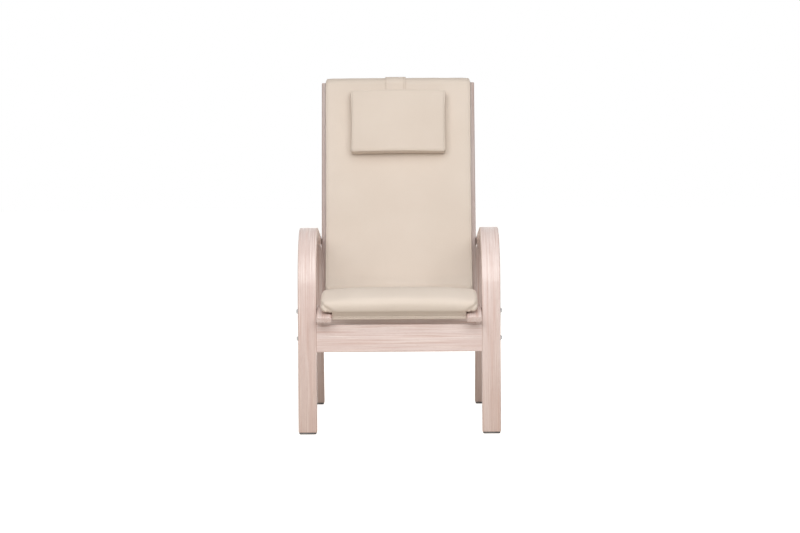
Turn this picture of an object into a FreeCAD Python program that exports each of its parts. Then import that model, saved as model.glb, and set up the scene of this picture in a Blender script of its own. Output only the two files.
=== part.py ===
"""High-backed armchair: bent side frames, bent seat-and-back rails, padded seat and back, sliding headrest.

Millimetres. +Z is up, the chair faces -Y, and the origin is on the floor in the middle of the outline.
"""
import FreeCAD
import Part
import Sketcher
import math
import os

SIZES = {
    "frame_inner_width": 506,
    "arm_width": 57,
    "arm_thick": 30,
    "arm_round": 3.5,
    "arm_top_height": 622,
    "arm_slope": 9,
    "arm_straight": 310,
    "arm_front_radius": 175,
    "arm_rear_radius": 75,
    "front_leg_lean": 3,
    "rear_leg_lean": 12,
    "glide_height": 6,
    "glide_inset": 2,
    "rail_width": 46,
    "rail_thick": 18,
    "rail_round": 4,
    "rail_spacer": 1,
    "rail_bolt_height": 376,
    "rail_tip_reach": 62,
    "rail_tip_run": 66,
    "rail_tip_slope": 21,
    "rail_front_radius": 70,
    "seat_slope": 6,
    "seat_run": 300,
    "rail_bend_radius": 120,
    "back_recline": 15,
    "back_run": 659,
    "front_bar_depth": 30,
    "front_bar_setback": 27,
    "lumbar_bar_depth": 70,
    "top_bar_depth": 50,
    "top_bar_setback": 10,
    "bar_round": 5,
    "dowel_diameter": 8,
    "dowel_length": 40,
    "fit_clearance": 0.05,
    "bolt_diameter": 6,
    "bolt_play": 0.4,
    "bolt_head_diameter": 16,
    "bolt_head_height": 5,
    "hex_key": 4,
    "rail_bolt_grip": 20,
    "insert_diameter": 10,
    "insert_length": 25,
    "spacer_diameter": 17,
    "apron_thick": 22,
    "apron_depth": 84,
    "apron_bolt_height": 293,
    "board_round": 3,
    "stretcher_depth": 70,
    "stretcher_bolt_height": 300,
    "barrel_diameter": 10,
    "barrel_setback": 34,
    "barrel_margin": 2,
    "webbing_width": 50,
    "webbing_thick": 2,
    "webbing_inset": 16,
    "seat_webbing_count": 4,
    "back_webbing_count": 6,
    "staple_length": 10,
    "staple_wire": 0.8,
    "cloth_gap": 0.3,
    "cover_wall": 2,
    "seat_pad_side_gap": 11,
    "seat_pad_thick": 46,
    "seat_pad_crown": 7.5,
    "seat_pad_bulge": 12,
    "seat_nose_setback": 7,
    "seat_nose_run": 26,
    "seat_nose_lift": 16,
    "seat_nose_thick": 14,
    "seat_nose_taper": 10,
    "back_pad_side_gap": 14,
    "back_pad_thick": 42,
    "back_pad_crown": 8,
    "back_pad_overhang": 9,
    "back_pad_nose": 28,
    "back_nose_taper": 5,
    "back_pad_bulge": 7,
    "pad_draw_in": 5,
    "flap_thick": 1.6,
    "flap_side_gap": 2,
    "flap_return": 42,
    "hood_side_gap": 15,
    "hood_front": 34,
    "hood_rear": 95,
    "headrest_width": 315,
    "headrest_length": 208,
    "headrest_thick": 46,
    "headrest_crown": 6,
    "headrest_edge": 7,
    "headrest_draw_in": 4,
    "headrest_drop": 48,
    "headrest_shift": 0,
    "strap_width": 67,
    "strap_thick": 1.6,
    "strap_shift": -8,
    "strap_tail": 40,
    "strap_hang": 255,
    "weight_width": 92,
    "weight_length": 150,
    "weight_thick": 24,
    "weight_crown": 1.5,
    "weight_edge": 7,
    "weight_draw_in": 4,
}

doc = FreeCAD.newDocument("armchair")
sheet = doc.addObject("Spreadsheet::Sheet", "sizes")
for row, (alias, number) in enumerate(SIZES.items(), 1):
    sheet.set(f"A{row}", alias)
    sheet.set(f"B{row}", str(number))
    sheet.setAlias(f"B{row}", alias)
doc.recompute()


class Size:
    """A length or angle that keeps both its number and the sheet expression it comes from."""

    def __init__(self, number, text):
        self.number = float(number)
        self.text = text

    @staticmethod
    def of(other):
        if isinstance(other, Size):
            return other
        return Size(other, repr(float(other)))

    def __add__(self, other):
        other = Size.of(other)
        return Size(self.number + other.number, f"({self.text} + {other.text})")

    def __sub__(self, other):
        other = Size.of(other)
        return Size(self.number - other.number, f"({self.text} - {other.text})")

    def __rsub__(self, other):
        return Size.of(other) - self

    def __mul__(self, other):
        other = Size.of(other)
        return Size(self.number * other.number, f"({self.text} * {other.text})")

    def __truediv__(self, other):
        other = Size.of(other)
        return Size(self.number / other.number, f"({self.text} / {other.text})")

    def __neg__(self):
        return Size(-self.number, f"(-1 * {self.text})")

    __radd__ = __add__
    __rmul__ = __mul__


def size(name):
    """The sheet's value under an alias."""
    return Size(sheet.get(name), "sizes." + name)


def sine(angle):
    """Sine of an angle in degrees."""
    return Size(math.sin(math.radians(angle.number)), f"sin({angle.text} * 1 deg)")


def cosine(angle):
    """Cosine of an angle in degrees."""
    return Size(math.cos(math.radians(angle.number)), f"cos({angle.text} * 1 deg)")


def bind(item, prop, value):
    """Tie a property to the sheet."""
    item.setExpression(prop, Size.of(value).text)


def val(name):
    """Plain number of a sheet value."""
    return size(name).number


def unit(heading):
    """Unit vector in the side plane; 0 degrees points to the rear and 90 degrees up."""
    return math.cos(math.radians(heading)), math.sin(math.radians(heading))


def step(point, heading, ahead, left=0.0):
    """Point reached by going ahead and to the left of a heading in the side plane."""
    along_y, along_z = unit(heading)
    return point[0] + ahead * along_y - left * along_z, point[1] + ahead * along_z + left * along_y


class Course:
    """Centre line of a bent strip in the side plane: straight runs joined by tangent arcs."""

    def __init__(self, start, heading, runs, bends):
        self.pieces = []
        point = start
        for index, run in enumerate(runs):
            self.pieces.append((point, heading, run, 0.0, 0.0))
            point = step(point, heading, run)
            if index < len(bends):
                radius, turn = bends[index]
                self.pieces.append((point, heading, math.radians(abs(turn)) * radius, radius, turn))
                point, heading = self.turned(point, heading, radius, turn)
        self.length = sum(piece[2] for piece in self.pieces)

    @staticmethod
    def turned(point, heading, radius, turn):
        """Place and heading after an arc; a positive turn is to the left."""
        reach = math.copysign(radius, turn)
        centre = step(point, heading, 0.0, reach)
        return step(centre, heading + turn, 0.0, -reach), heading + turn

    def at(self, distance):
        """Point and heading at a distance along the line, which runs on straight past both ends."""
        for index, (point, heading, length, radius, turn) in enumerate(self.pieces):
            if distance <= length or index == len(self.pieces) - 1:
                break
            distance -= length
        if radius:
            return self.turned(point, heading, radius, turn * distance / length)
        return step(point, heading, distance), heading


def origin_plane(body, role):
    """One of a body's own base planes."""
    return next(plane for plane in body.Origin.OriginFeatures if plane.Role == role)


def new_sketch(body, name, role="YZ_Plane", offset=None):
    """Sketch on a base plane of its body, moved along the plane's normal by a bound offset."""
    sketch = body.newObject("Sketcher::SketchObject", name)
    sketch.AttachmentSupport = (origin_plane(body, role), "")
    sketch.MapMode = "FlatFace"
    if offset is not None:
        bind(sketch, "AttachmentOffset.Base.z", offset)
    return sketch


def rule(sketch, name, value, kind, *where):
    """Dimension of a sketch, bound to the sheet."""
    value = Size.of(value)
    number = math.radians(value.number) if kind == "Angle" else value.number
    index = sketch.addConstraint(Sketcher.Constraint(kind, *where, number))
    sketch.renameConstraint(index, name)
    sketch.setExpression("Constraints." + name, value.text)


def draw_side(sketch, start, heading, runs, bends, offset):
    """One long side of a strip: lines and arcs at a distance to the left of the centre line."""
    side = []
    point = start
    for index, run in enumerate(runs):
        first = FreeCAD.Vector(*step(point, heading, 0.0, offset), 0)
        last = FreeCAD.Vector(*step(point, heading, run, offset), 0)
        side.append((sketch.addGeometry(Part.LineSegment(first, last)), 1, 2))
        point = step(point, heading, run)
        if index < len(bends):
            radius, turn = bends[index]
            centre = step(point, heading, 0.0, math.copysign(radius, turn))
            into = heading - math.copysign(90, turn)
            low, high = sorted((math.radians(into), math.radians(into + turn)))
            inside = radius - math.copysign(offset, offset * turn)
            circle = Part.Circle(FreeCAD.Vector(*centre, 0), FreeCAD.Vector(0, 0, 1), inside)
            arc = sketch.addGeometry(Part.ArcOfCircle(circle, low, high))
            side.append((arc, 1, 2) if turn > 0 else (arc, 2, 1))
            point, heading = Course.turned(point, heading, radius, turn)
    return side


def strip_outline(body, start, heading, runs, bends, thick, level_ends=False):
    """Outline of a strip of even thickness that follows straight runs and arcs; ends square or level."""
    sketch = new_sketch(body, body.Name + "_outline")
    plain_runs = [run.number for run in runs]
    plain_bends = [(radius.number, turn.number) for radius, turn in bends]
    origin = start[0].number, start[1].number
    half = thick.number / 2
    left = draw_side(sketch, origin, heading.number, plain_runs, plain_bends, half)
    right = draw_side(sketch, origin, heading.number, plain_runs, plain_bends, -half)
    for side in (left, right):
        for (one, _, one_end), (two, two_start, _) in zip(side, side[1:]):
            sketch.addConstraint(Sketcher.Constraint("Tangent", one, one_end, two, two_start))
    for end, corner in ((0, 1), (-1, 2)):
        first = sketch.getPoint(left[end][0], corner)
        last = sketch.getPoint(right[end][0], corner)
        cap = sketch.addGeometry(Part.LineSegment(first, last))
        sketch.addConstraint(Sketcher.Constraint("Coincident", cap, 1, left[end][0], corner))
        sketch.addConstraint(Sketcher.Constraint("Coincident", cap, 2, right[end][0], corner))
        if level_ends:
            sketch.addConstraint(Sketcher.Constraint("Horizontal", cap))
        else:
            sketch.addConstraint(Sketcher.Constraint("Perpendicular", cap, left[end][0]))
        if len(runs) > 1:
            sketch.addConstraint(Sketcher.Constraint("Parallel", left[end][0], right[end][0]))
    way = heading
    for index, run in enumerate(runs):
        rule(sketch, f"way_{index}", way, "Angle", left[2 * index][0])
        if level_ends and index == 0:
            run = run + thick / 2 * cosine(way) / sine(way)
        if level_ends and index == len(runs) - 1:
            run = run - thick / 2 * cosine(way) / sine(way)
        rule(sketch, f"run_{index}", run, "Distance", left[2 * index][0])
        if index < len(bends):
            radius, turn = bends[index]
            inward = 1 if turn.number > 0 else -1
            near, far = left[2 * index + 1][0], right[2 * index + 1][0]
            sketch.addConstraint(Sketcher.Constraint("Coincident", near, 3, far, 3))
            rule(sketch, f"left_bend_{index}", radius - inward * thick / 2, "Radius", near)
            rule(sketch, f"right_bend_{index}", radius + inward * thick / 2, "Radius", far)
            way = way + turn
    corner_y = start[0] - thick / 2 * sine(heading)
    corner_z = start[1] + thick / 2 * cosine(heading)
    if level_ends:
        corner_y = start[0] - thick / 2 / sine(heading)
        corner_z = start[1]
    rule(sketch, "corner_y", corner_y, "DistanceX", left[0][0], 1)
    rule(sketch, "corner_z", corner_z, "DistanceY", left[0][0], 1)
    return sketch


def pad(body, sketch, length, reverse=False):
    """Solid from a sketch along its plane's normal."""
    solid = body.newObject("PartDesign::Pad", body.Name + "_pad")
    solid.Profile = sketch
    bind(solid, "Length", length)
    solid.Reversed = reverse
    doc.recompute()
    return solid


def ease(body, solid, radius, shortest):
    """Round the long edges of a padded strip on both of its side faces."""
    faces = solid.Shape.BoundBox
    chosen = []
    for index, edge in enumerate(solid.Shape.Edges, 1):
        box = edge.BoundBox
        on_side = box.XLength < 1e-3 and min(abs(box.XMin - faces.XMin), abs(box.XMax - faces.XMax)) < 1e-3
        if on_side and edge.Length > shortest.number:
            chosen.append(f"Edge{index}")
    rounded = body.newObject("PartDesign::Fillet", body.Name + "_round")
    rounded.Base = (solid, chosen)
    bind(rounded, "Radius", radius)
    doc.recompute()
    return rounded


def ease_long(body, solid, radius):
    """Round the edges of a bar or board that run along X."""
    width = solid.Shape.BoundBox.XLength
    edges = solid.Shape.Edges
    chosen = [f"Edge{index}" for index, edge in enumerate(edges, 1) if edge.BoundBox.XLength > width / 2]
    rounded = body.newObject("PartDesign::Fillet", body.Name + "_round")
    rounded.Base = (solid, chosen)
    bind(rounded, "Radius", radius)
    doc.recompute()


def bore(body, name, centres, diameter, depth, outward, offset=None):
    """Round holes along X from a side face; outward is +1 to cut towards +X."""
    before = body.Shape.Volume
    sketch = new_sketch(body, name + "_circles", offset=offset)
    for index, (along, up) in enumerate(centres):
        centre = FreeCAD.Vector(Size.of(along).number, Size.of(up).number, 0)
        circle = sketch.addGeometry(Part.Circle(centre, FreeCAD.Vector(0, 0, 1), diameter.number / 2))
        rule(sketch, f"wide_{index}", diameter, "Diameter", circle)
        rule(sketch, f"along_{index}", along, "DistanceX", circle, 3)
        rule(sketch, f"up_{index}", up, "DistanceY", circle, 3)
    cut = body.newObject("PartDesign::Pocket", name)
    cut.Profile = sketch
    bind(cut, "Length", depth)
    cut.Reversed = outward > 0
    doc.recompute()
    removed = before - cut.Shape.Volume
    expected = len(centres) * math.pi * diameter.number ** 2 / 4 * depth.number
    if abs(removed - expected) > 0.02 * expected:
        raise RuntimeError(f"{name} removed {removed:.0f} mm3 where {expected:.0f} was meant")


def new_body(name):
    """Body whose name is also its label."""
    body = doc.addObject("PartDesign::Body", name)
    body.Label = name
    return body


def put(item, point, heading=0.0, side=0.0):
    """Place an item at a side-plane point, turned about X to a heading."""
    turn = FreeCAD.Rotation(FreeCAD.Vector(1, 0, 0), heading)
    item.Placement = FreeCAD.Placement(FreeCAD.Vector(side, *point), turn)


def cylinder(name, radius, length, point, side):
    """Round bar along X, from its left end."""
    bar = doc.addObject("Part::Cylinder", name)
    bind(bar, "Radius", radius)
    bind(bar, "Height", length)
    turn = FreeCAD.Rotation(FreeCAD.Vector(0, 1, 0), 90)
    bar.Placement = FreeCAD.Placement(FreeCAD.Vector(side, *point), turn)
    return bar


def less(name, base, tool):
    """Base with the tool taken away."""
    result = doc.addObject("Part::Cut", name)
    result.Base = base
    result.Tool = tool
    return result


def group(name, items):
    """Like pieces kept as one node."""
    gathered = doc.addObject("Part::Compound", name)
    gathered.Links = items
    gathered.Label = name
    return gathered


def section(place, half, low, high, crown, bulge, side=0.0, sag=0.0):
    """Closed line round a cushion, square to its course: flat or sagging base, bowed sides, crowned top."""
    point, heading = place
    mid = (low + high) / 2

    def spot(across, out):
        return FreeCAD.Vector(side + across, *step(point, heading, 0.0, out))

    left_low, right_low = spot(-half + bulge, low), spot(half - bulge, low)
    left_high, right_high = spot(-half + bulge, high), spot(half - bulge, high)
    base = Part.LineSegment(left_low, right_low)
    if sag:
        base = Part.Arc(left_low, spot(0, low - sag), right_low)
    edges = [
        base,
        Part.Arc(right_low, spot(half, mid), right_high),
        Part.Arc(right_high, spot(0, high + crown), left_high),
        Part.Arc(left_high, spot(-half, mid), left_low),
    ]
    return Part.Wire([edge.toShape() for edge in edges])


def cushion(place_at, stations, inset=0.0, side=0.0, sag=0.0):
    """Ruled loft through the sections of a cushion, drawn in all round by an inset.

    A station is (distance, half width, low, high, crown, bulge). Along the course the stations close up evenly.
    """
    wires = []
    first = stations[0][0]
    length = stations[-1][0] - first
    for distance, half, low, high, crown, bulge in stations:
        trimmed = max(bulge - inset / 2, 1.0)
        place = place_at(first + inset + (distance - first) * (1 - 2 * inset / length))
        wires.append(section(place, half - inset, low + inset, high - inset, crown, trimmed, side, sag))
    return Part.makeLoft(wires, True, True)


def feature(name, shape):
    """Solid made of free-form sections."""
    item = doc.addObject("Part::Feature", name)
    item.Shape = shape
    item.Placement = FreeCAD.Placement()
    return item


def padded(cover_name, core_name, place_at, stations, side=0.0, sag=0.0):
    """A cushion's sewn cover, hollow inside, and the filling that lies in it."""
    outer = cushion(place_at, stations, 0.0, side, sag)
    hollow = cushion(place_at, stations, val("cover_wall"), side, sag)
    core = cushion(place_at, stations, val("cover_wall") + val("cloth_gap"), side, sag)
    return feature(cover_name, outer.cut(hollow)), feature(core_name, core)


# Side frames: front leg, wide front bend, arm, tight rear bend, rear leg.
arm_thick = size("arm_thick")
front_lean = size("front_leg_lean")
rear_lean = size("rear_leg_lean")
arm_slope = size("arm_slope")
front_radius = size("arm_front_radius")
rear_radius = size("arm_rear_radius")
glide_height = size("glide_height")
inner_half = size("frame_inner_width") / 2

front_bend_z = size("arm_top_height") - arm_thick / 2 - front_radius * (1 - sine(front_lean))
front_leg_run = (front_bend_z - glide_height) / cosine(front_lean)
arm_start_z = front_bend_z + front_radius * (cosine(arm_slope) - sine(front_lean))
rear_bend_z = arm_start_z - size("arm_straight") * sine(arm_slope)
rear_leg_z = rear_bend_z + rear_radius * (sine(rear_lean) - cosine(arm_slope))
rear_leg_run = (rear_leg_z - glide_height) / cosine(rear_lean)
foot_half = arm_thick / 2 / cosine(front_lean)

frame_start = (foot_half, glide_height)
frame_heading = 90 - front_lean
frame_runs = [front_leg_run, size("arm_straight"), rear_leg_run]
frame_bends = [
    (front_radius, front_lean - 90 - arm_slope),
    (rear_radius, arm_slope - 90 + rear_lean),
]
frame_course = Course(
    (frame_start[0].number, frame_start[1].number),
    frame_heading.number,
    [run.number for run in frame_runs],
    [(radius.number, turn.number) for radius, turn in frame_bends],
)
rear_foot = frame_course.at(frame_course.length)[0]
rear_edge = rear_foot[0] + arm_thick.number / 2 / cosine(rear_lean).number


def leg_point(height, front):
    """Point on a leg's centre line at a height."""
    if front:
        lean = math.tan(math.radians(front_lean.number))
        return frame_start[0].number + (height - glide_height.number) * lean, height
    lean = math.tan(math.radians(rear_lean.number))
    return rear_foot[0] - (height - rear_foot[1]) * lean, height


# Seat and back rails: sloped tip, shallow front bend, seat, wide bend, back.
rail_thick = size("rail_thick")
rail_half = rail_thick / 2
tip_slope = size("rail_tip_slope")
seat_slope = size("seat_slope")
recline = size("back_recline")
rail_bolt = leg_point(val("rail_bolt_height"), True)
rail_tip = step(rail_bolt, tip_slope.number, -val("rail_tip_reach"))
rail_runs = [size("rail_tip_run"), size("seat_run"), size("back_run")]
rail_bends = [
    (size("rail_front_radius"), -(tip_slope + seat_slope)),
    (size("rail_bend_radius"), 90 - recline + seat_slope),
]
plain_runs = [run.number for run in rail_runs]
plain_bends = [(radius.number, turn.number) for radius, turn in rail_bends]
front_arc = math.radians(-plain_bends[0][1]) * plain_bends[0][0]
rear_arc = math.radians(plain_bends[1][1]) * plain_bends[1][0]
seat_begin = plain_runs[0] + front_arc
seat_end = seat_begin + plain_runs[1]
back_begin = seat_end + rear_arc
back_heading = 90 - recline.number

# The outline runs from the front of the seat pad to the heel of the rear legs; the origin is half way.
pad_lift = val("webbing_thick") + val("staple_wire") + val("cloth_gap")
pad_base = rail_half.number + pad_lift
seat_top = pad_base + val("seat_pad_thick")
seat_crown = val("seat_pad_crown")
nose_drop = val("seat_pad_thick") - val("seat_nose_lift") - val("seat_nose_thick")
seat_nose = [
    (val("seat_nose_setback") + val("seat_nose_run") * (1 - math.sin(turn)), 1 - math.cos(turn))
    for turn in (math.radians(degrees) for degrees in (90, 68, 45, 22, 0))
]
front_edge = min(
    step(rail_tip, tip_slope.number, distance, seat_top - nose_drop * drawn + seat_crown * (1 - drawn / 2))[0]
    for distance, drawn in seat_nose
)
shift = -(front_edge + rear_edge) / 2


def moved(point):
    """Side-plane point in the chair's own frame."""
    return point[0] + shift, point[1]


rail_course = Course(moved(rail_tip), tip_slope.number, plain_runs, plain_bends)
top = rail_course.length
arm_bolt_line = frame_course.at(frame_course.pieces[0][2] + frame_course.pieces[1][2])[0]
back_line = rail_course.at(back_begin)[0]
back_line = back_line[0] - shift, back_line[1]
back_y, back_z = unit(back_heading)
arm_y, arm_z = unit(-arm_slope.number)
gap_y, gap_z = arm_bolt_line[0] - back_line[0], arm_bolt_line[1] - back_line[1]
back_reach = (gap_y * arm_z - gap_z * arm_y) / (back_y * arm_z - back_z * arm_y)
arm_bolt = step(back_line, back_heading, back_reach)
apron_bolt = leg_point(val("apron_bolt_height"), True)
stretcher_bolt = leg_point(val("stretcher_bolt_height"), False)

arm_width = size("arm_width")
bolt_diameter = size("bolt_diameter")
clear_bore = bolt_diameter + size("bolt_play")
frame_bolts = [rail_bolt, apron_bolt, arm_bolt, stretcher_bolt]
sides = {"left": -1, "right": 1}
for side_name, outward in sides.items():
    frame = new_body("side_frame_" + side_name)
    outline = strip_outline(frame, frame_start, frame_heading, frame_runs, frame_bends, arm_thick, True)
    blank = pad(frame, outline, arm_width, outward < 0)
    ease(frame, blank, size("arm_round"), 1.5 * arm_thick)
    bore(frame, "bolt_holes_" + side_name, frame_bolts, clear_bore, arm_width, outward)
    put(frame, (shift, 0.0), 0.0, outward * inner_half.number)

# Seat and back rails, drawn about the front bolt.
rail_width = size("rail_width")
rail_inner = inner_half - size("rail_spacer") - rail_width
dowel_diameter = size("dowel_diameter")
dowel_length = size("dowel_length")
dowel_hole = dowel_diameter + 2 * size("fit_clearance")
insert_hole = size("insert_diameter") + 2 * size("fit_clearance")
bars = {
    "front_crossbar": (size("front_bar_depth"), val("front_bar_setback") + val("front_bar_depth") / 2),
    "lumbar_crossbar": (size("lumbar_bar_depth"), (seat_end + back_begin) / 2),
    "top_crossbar": (size("top_bar_depth"), top - val("top_bar_setback") - val("top_bar_depth") / 2),
}
dowel_points = []
for depth, distance in bars.values():
    point, heading = rail_course.at(distance)
    dowel_points += [step(point, heading, way * depth.number / 4) for way in (-1, 1)]

rail_start = (-size("rail_tip_reach") * cosine(tip_slope), -size("rail_tip_reach") * sine(tip_slope))
rail_origin = moved(rail_bolt)


def from_rail(point):
    """Point of the chair as seen from the rails' front bolt."""
    return point[0] - rail_origin[0], point[1] - rail_origin[1]


for side_name, outward in sides.items():
    rail = new_body("rail_" + side_name)
    outline = strip_outline(rail, rail_start, tip_slope, rail_runs, rail_bends, rail_thick)
    blank = pad(rail, outline, rail_width, outward < 0)
    ease(rail, blank, size("rail_round"), 1.5 * rail_thick)
    holes = [from_rail(point) for point in dowel_points]
    bore(rail, "dowel_holes_" + side_name, holes, dowel_hole, dowel_length / 2, outward)
    inserts = [from_rail(moved(point)) for point in (rail_bolt, arm_bolt)]
    bore(rail, "insert_holes_" + side_name, inserts, insert_hole, size("insert_length"), -outward,
         outward * rail_width)
    put(rail, rail_origin, 0.0, outward * rail_inner.number)

# Crossbars between the rails, doweled at both ends.
for name, (depth, distance) in bars.items():
    bar = new_body(name)
    start = (-depth / 2, Size.of(0))
    outline = strip_outline(bar, start, Size.of(0), [depth], [], rail_thick)
    blank = pad(bar, outline, 2 * rail_inner)
    ease_long(bar, blank, size("bar_round"))
    holes = [(way * depth / 4, Size.of(0)) for way in (-1, 1)]
    bore(bar, name + "_left_holes", holes, dowel_hole, dowel_length / 2, 1)
    bore(bar, name + "_right_holes", holes, dowel_hole, dowel_length / 2, -1, 2 * rail_inner)
    point, heading = rail_course.at(distance)
    put(bar, point, heading, -rail_inner.number)

dowels = []
for side_name, outward in sides.items():
    for index, point in enumerate(dowel_points):
        begin = outward * rail_inner.number - dowel_length.number / 2
        dowels.append(cylinder(f"dowel_{side_name}_{index}", dowel_diameter / 2, dowel_length, point, begin))
group("crossbar_dowels", dowels)

# Apron between the front legs and stretcher between the rear legs, each drawn up by bolts and barrel nuts.
boards = {
    "front_apron": (size("apron_depth"), moved(apron_bolt), frame_heading.number),
    "rear_stretcher": (size("stretcher_depth"), moved(stretcher_bolt), 90 + rear_lean.number),
}
board_thick = size("apron_thick")
barrel_hole = size("barrel_diameter") + 2 * size("fit_clearance")
board_bore = size("barrel_setback") + size("barrel_diameter")
barrel_length = board_thick - 2 * size("barrel_margin")
barrels = []
for name, (depth, point, heading) in boards.items():
    board = new_body(name)
    outline = strip_outline(board, (-depth / 2, Size.of(0)), Size.of(0), [depth], [], board_thick)
    blank = pad(board, outline, 2 * inner_half)
    ease_long(board, blank, size("board_round"))
    middle = [(Size.of(0), Size.of(0))]
    bore(board, name + "_left_bore", middle, clear_bore, board_bore, 1)
    bore(board, name + "_right_bore", middle, clear_bore, board_bore, -1, 2 * inner_half)
    pockets = new_sketch(board, name + "_barrel_circles", "XY_Plane", -board_thick / 2)
    for index, along in enumerate((size("barrel_setback"), 2 * inner_half - size("barrel_setback"))):
        centre = FreeCAD.Vector(along.number, 0, 0)
        circle = pockets.addGeometry(Part.Circle(centre, FreeCAD.Vector(0, 0, 1), barrel_hole.number / 2))
        rule(pockets, f"wide_{index}", barrel_hole, "Diameter", circle)
        rule(pockets, f"along_{index}", along, "DistanceX", circle, 3)
        rule(pockets, f"across_{index}", 0, "DistanceY", circle, 3)
    doc.recompute()
    before = board.Shape.Volume
    cut = board.newObject("PartDesign::Pocket", name + "_barrel_holes")
    cut.Profile = pockets
    bind(cut, "Length", board_thick - size("barrel_margin"))
    cut.Reversed = True
    doc.recompute()
    if before - cut.Shape.Volume < barrel_hole.number ** 2 * barrel_length.number:
        raise RuntimeError(name + " barrel holes cut nothing")
    put(board, point, heading, -inner_half.number)
    for outward in sides.values():
        label = f"{name}_barrel_{outward}"
        barrel = doc.addObject("Part::Cylinder", label)
        bind(barrel, "Radius", size("barrel_diameter") / 2)
        bind(barrel, "Height", barrel_length)
        across = outward * (inner_half.number - val("barrel_setback"))
        turn = FreeCAD.Rotation(FreeCAD.Vector(1, 0, 0), heading)
        foot = step(point, heading, 0.0, -barrel_length.number / 2)
        barrel.Placement = FreeCAD.Placement(FreeCAD.Vector(across, *foot), turn)
        reach = 2 * size("barrel_diameter")
        thread = cylinder(label + "_thread", bolt_diameter / 2 + size("fit_clearance"), reach, point,
                          across - reach.number / 2)
        barrels.append(less(label + "_nut", barrel, thread))
group("barrel_nuts", barrels)

# Bolts through the side frames, threaded inserts in the rails, spacers between frame and rail.
outer_half = inner_half + arm_width
rail_outer = inner_half - size("rail_spacer")
head_height = size("bolt_head_height")
bolt_sets = {
    "rail_bolts": ([rail_bolt, arm_bolt], arm_width + size("rail_spacer") + size("rail_bolt_grip")),
    "frame_bolts": ([apron_bolt, stretcher_bolt], arm_width + board_bore - size("barrel_margin")),
}
for set_name, (points, shank) in bolt_sets.items():
    bolts = []
    for side_name, outward in sides.items():
        for index, point in enumerate(points):
            label = f"{set_name}_{side_name}_{index}"
            outer = outward * outer_half.number
            begin = outer if outward < 0 else outer - shank.number
            stem = cylinder(label + "_stem", bolt_diameter / 2, shank, moved(point), begin)
            head = doc.addObject("Part::Cone", label + "_head")
            bind(head, "Radius1", size("bolt_head_diameter") / 2)
            bind(head, "Radius2", size("bolt_head_diameter") / 2 - head_height / 2)
            bind(head, "Height", head_height)
            turn = FreeCAD.Rotation(FreeCAD.Vector(0, 1, 0), outward * 90)
            head.Placement = FreeCAD.Placement(FreeCAD.Vector(outer, *moved(point)), turn)
            socket = doc.addObject("Part::Prism", label + "_socket")
            socket.Polygon = 6
            bind(socket, "Circumradius", size("hex_key") / math.sqrt(3))
            bind(socket, "Height", head_height)
            deep = outer + outward * head_height.number * 0.4
            socket.Placement = FreeCAD.Placement(FreeCAD.Vector(deep, *moved(point)), turn)
            whole = doc.addObject("Part::Fuse", label + "_whole")
            whole.Base = stem
            whole.Tool = head
            bolts.append(less(label + "_bolt", whole, socket))
    group(set_name, bolts)

inserts = []
spacers = []
for side_name, outward in sides.items():
    for index, point in enumerate((rail_bolt, arm_bolt)):
        label = f"{side_name}_{index}"
        length = size("insert_length")
        begin = outward * rail_outer.number - (length.number if outward > 0 else 0.0)
        sleeve = cylinder("sleeve_" + label, size("insert_diameter") / 2, length, moved(point), begin)
        thread = cylinder("sleeve_thread_" + label, bolt_diameter / 2 + size("fit_clearance"), length,
                          moved(point), begin)
        inserts.append(less("insert_" + label, sleeve, thread))
        length = size("rail_spacer")
        begin = outward * rail_outer.number - (length.number if outward < 0 else 0.0)
        disc = cylinder("disc_" + label, size("spacer_diameter") / 2, length, moved(point), begin)
        hole = cylinder("disc_hole_" + label, clear_bore / 2, length, moved(point), begin)
        spacers.append(less("spacer_" + label, disc, hole))
group("rail_inserts", inserts)
group("rail_spacers", spacers)

# Floor glides, set in from the foot all round.
feet = {"front": (frame_course.at(0.0)[0], front_lean), "rear": (rear_foot, rear_lean)}
glides = []
for side_name, outward in sides.items():
    for place_name, (foot, lean) in feet.items():
        glide = doc.addObject("Part::Box", f"glide_{place_name}_{side_name}")
        foot_length = arm_thick / cosine(lean)
        bind(glide, "Length", arm_width - 2 * size("glide_inset"))
        bind(glide, "Width", foot_length - 2 * size("glide_inset"))
        bind(glide, "Height", glide_height)
        left_end = outward * (inner_half + arm_width / 2).number - arm_width.number / 2 + val("glide_inset")
        front_end = moved(foot)[0] - foot_length.number / 2 + val("glide_inset")
        glide.Placement = FreeCAD.Placement(FreeCAD.Vector(left_end, front_end, 0), FreeCAD.Rotation())
        glides.append(glide)
group("foot_glides", glides)

# Elastic webbing across the rails, stapled at both ends.
webbing_half = rail_outer - size("webbing_inset")
back_webbing_end = top - val("hood_front") - val("webbing_width") / 2
webbing_sets = {
    "seat_webbing": (seat_begin, seat_end, int(val("seat_webbing_count"))),
    "back_webbing": (back_begin, back_webbing_end, int(val("back_webbing_count"))),
}
staples = []
for name, (begin, end, count) in webbing_sets.items():
    bands = []
    for index in range(count):
        distance = begin + (end - begin) * (index + 0.5) / count
        point, heading = rail_course.at(distance)
        corner = step(point, heading, -val("webbing_width") / 2, rail_half.number)
        band = doc.addObject("Part::Box", f"{name}_{index}")
        bind(band, "Length", 2 * webbing_half)
        bind(band, "Width", size("webbing_width"))
        bind(band, "Height", size("webbing_thick"))
        put(band, corner, heading, -webbing_half.number)
        bands.append(band)
        for outward in sides.values():
            for quarter in (-1, 1):
                ahead = quarter * val("webbing_width") / 4 - val("staple_length") / 2
                raised = rail_half.number + val("webbing_thick")
                across = outward * (webbing_half.number - val("staple_length")) - val("staple_wire") / 2
                staple = doc.addObject("Part::Box", f"{name}_staple_{index}_{outward}_{quarter}")
                bind(staple, "Length", size("staple_wire"))
                bind(staple, "Width", size("staple_length"))
                bind(staple, "Height", size("staple_wire"))
                put(staple, step(point, heading, ahead, raised), heading, across)
                staples.append(staple)
    group(name, bands)
group("webbing_staples", staples)

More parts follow.
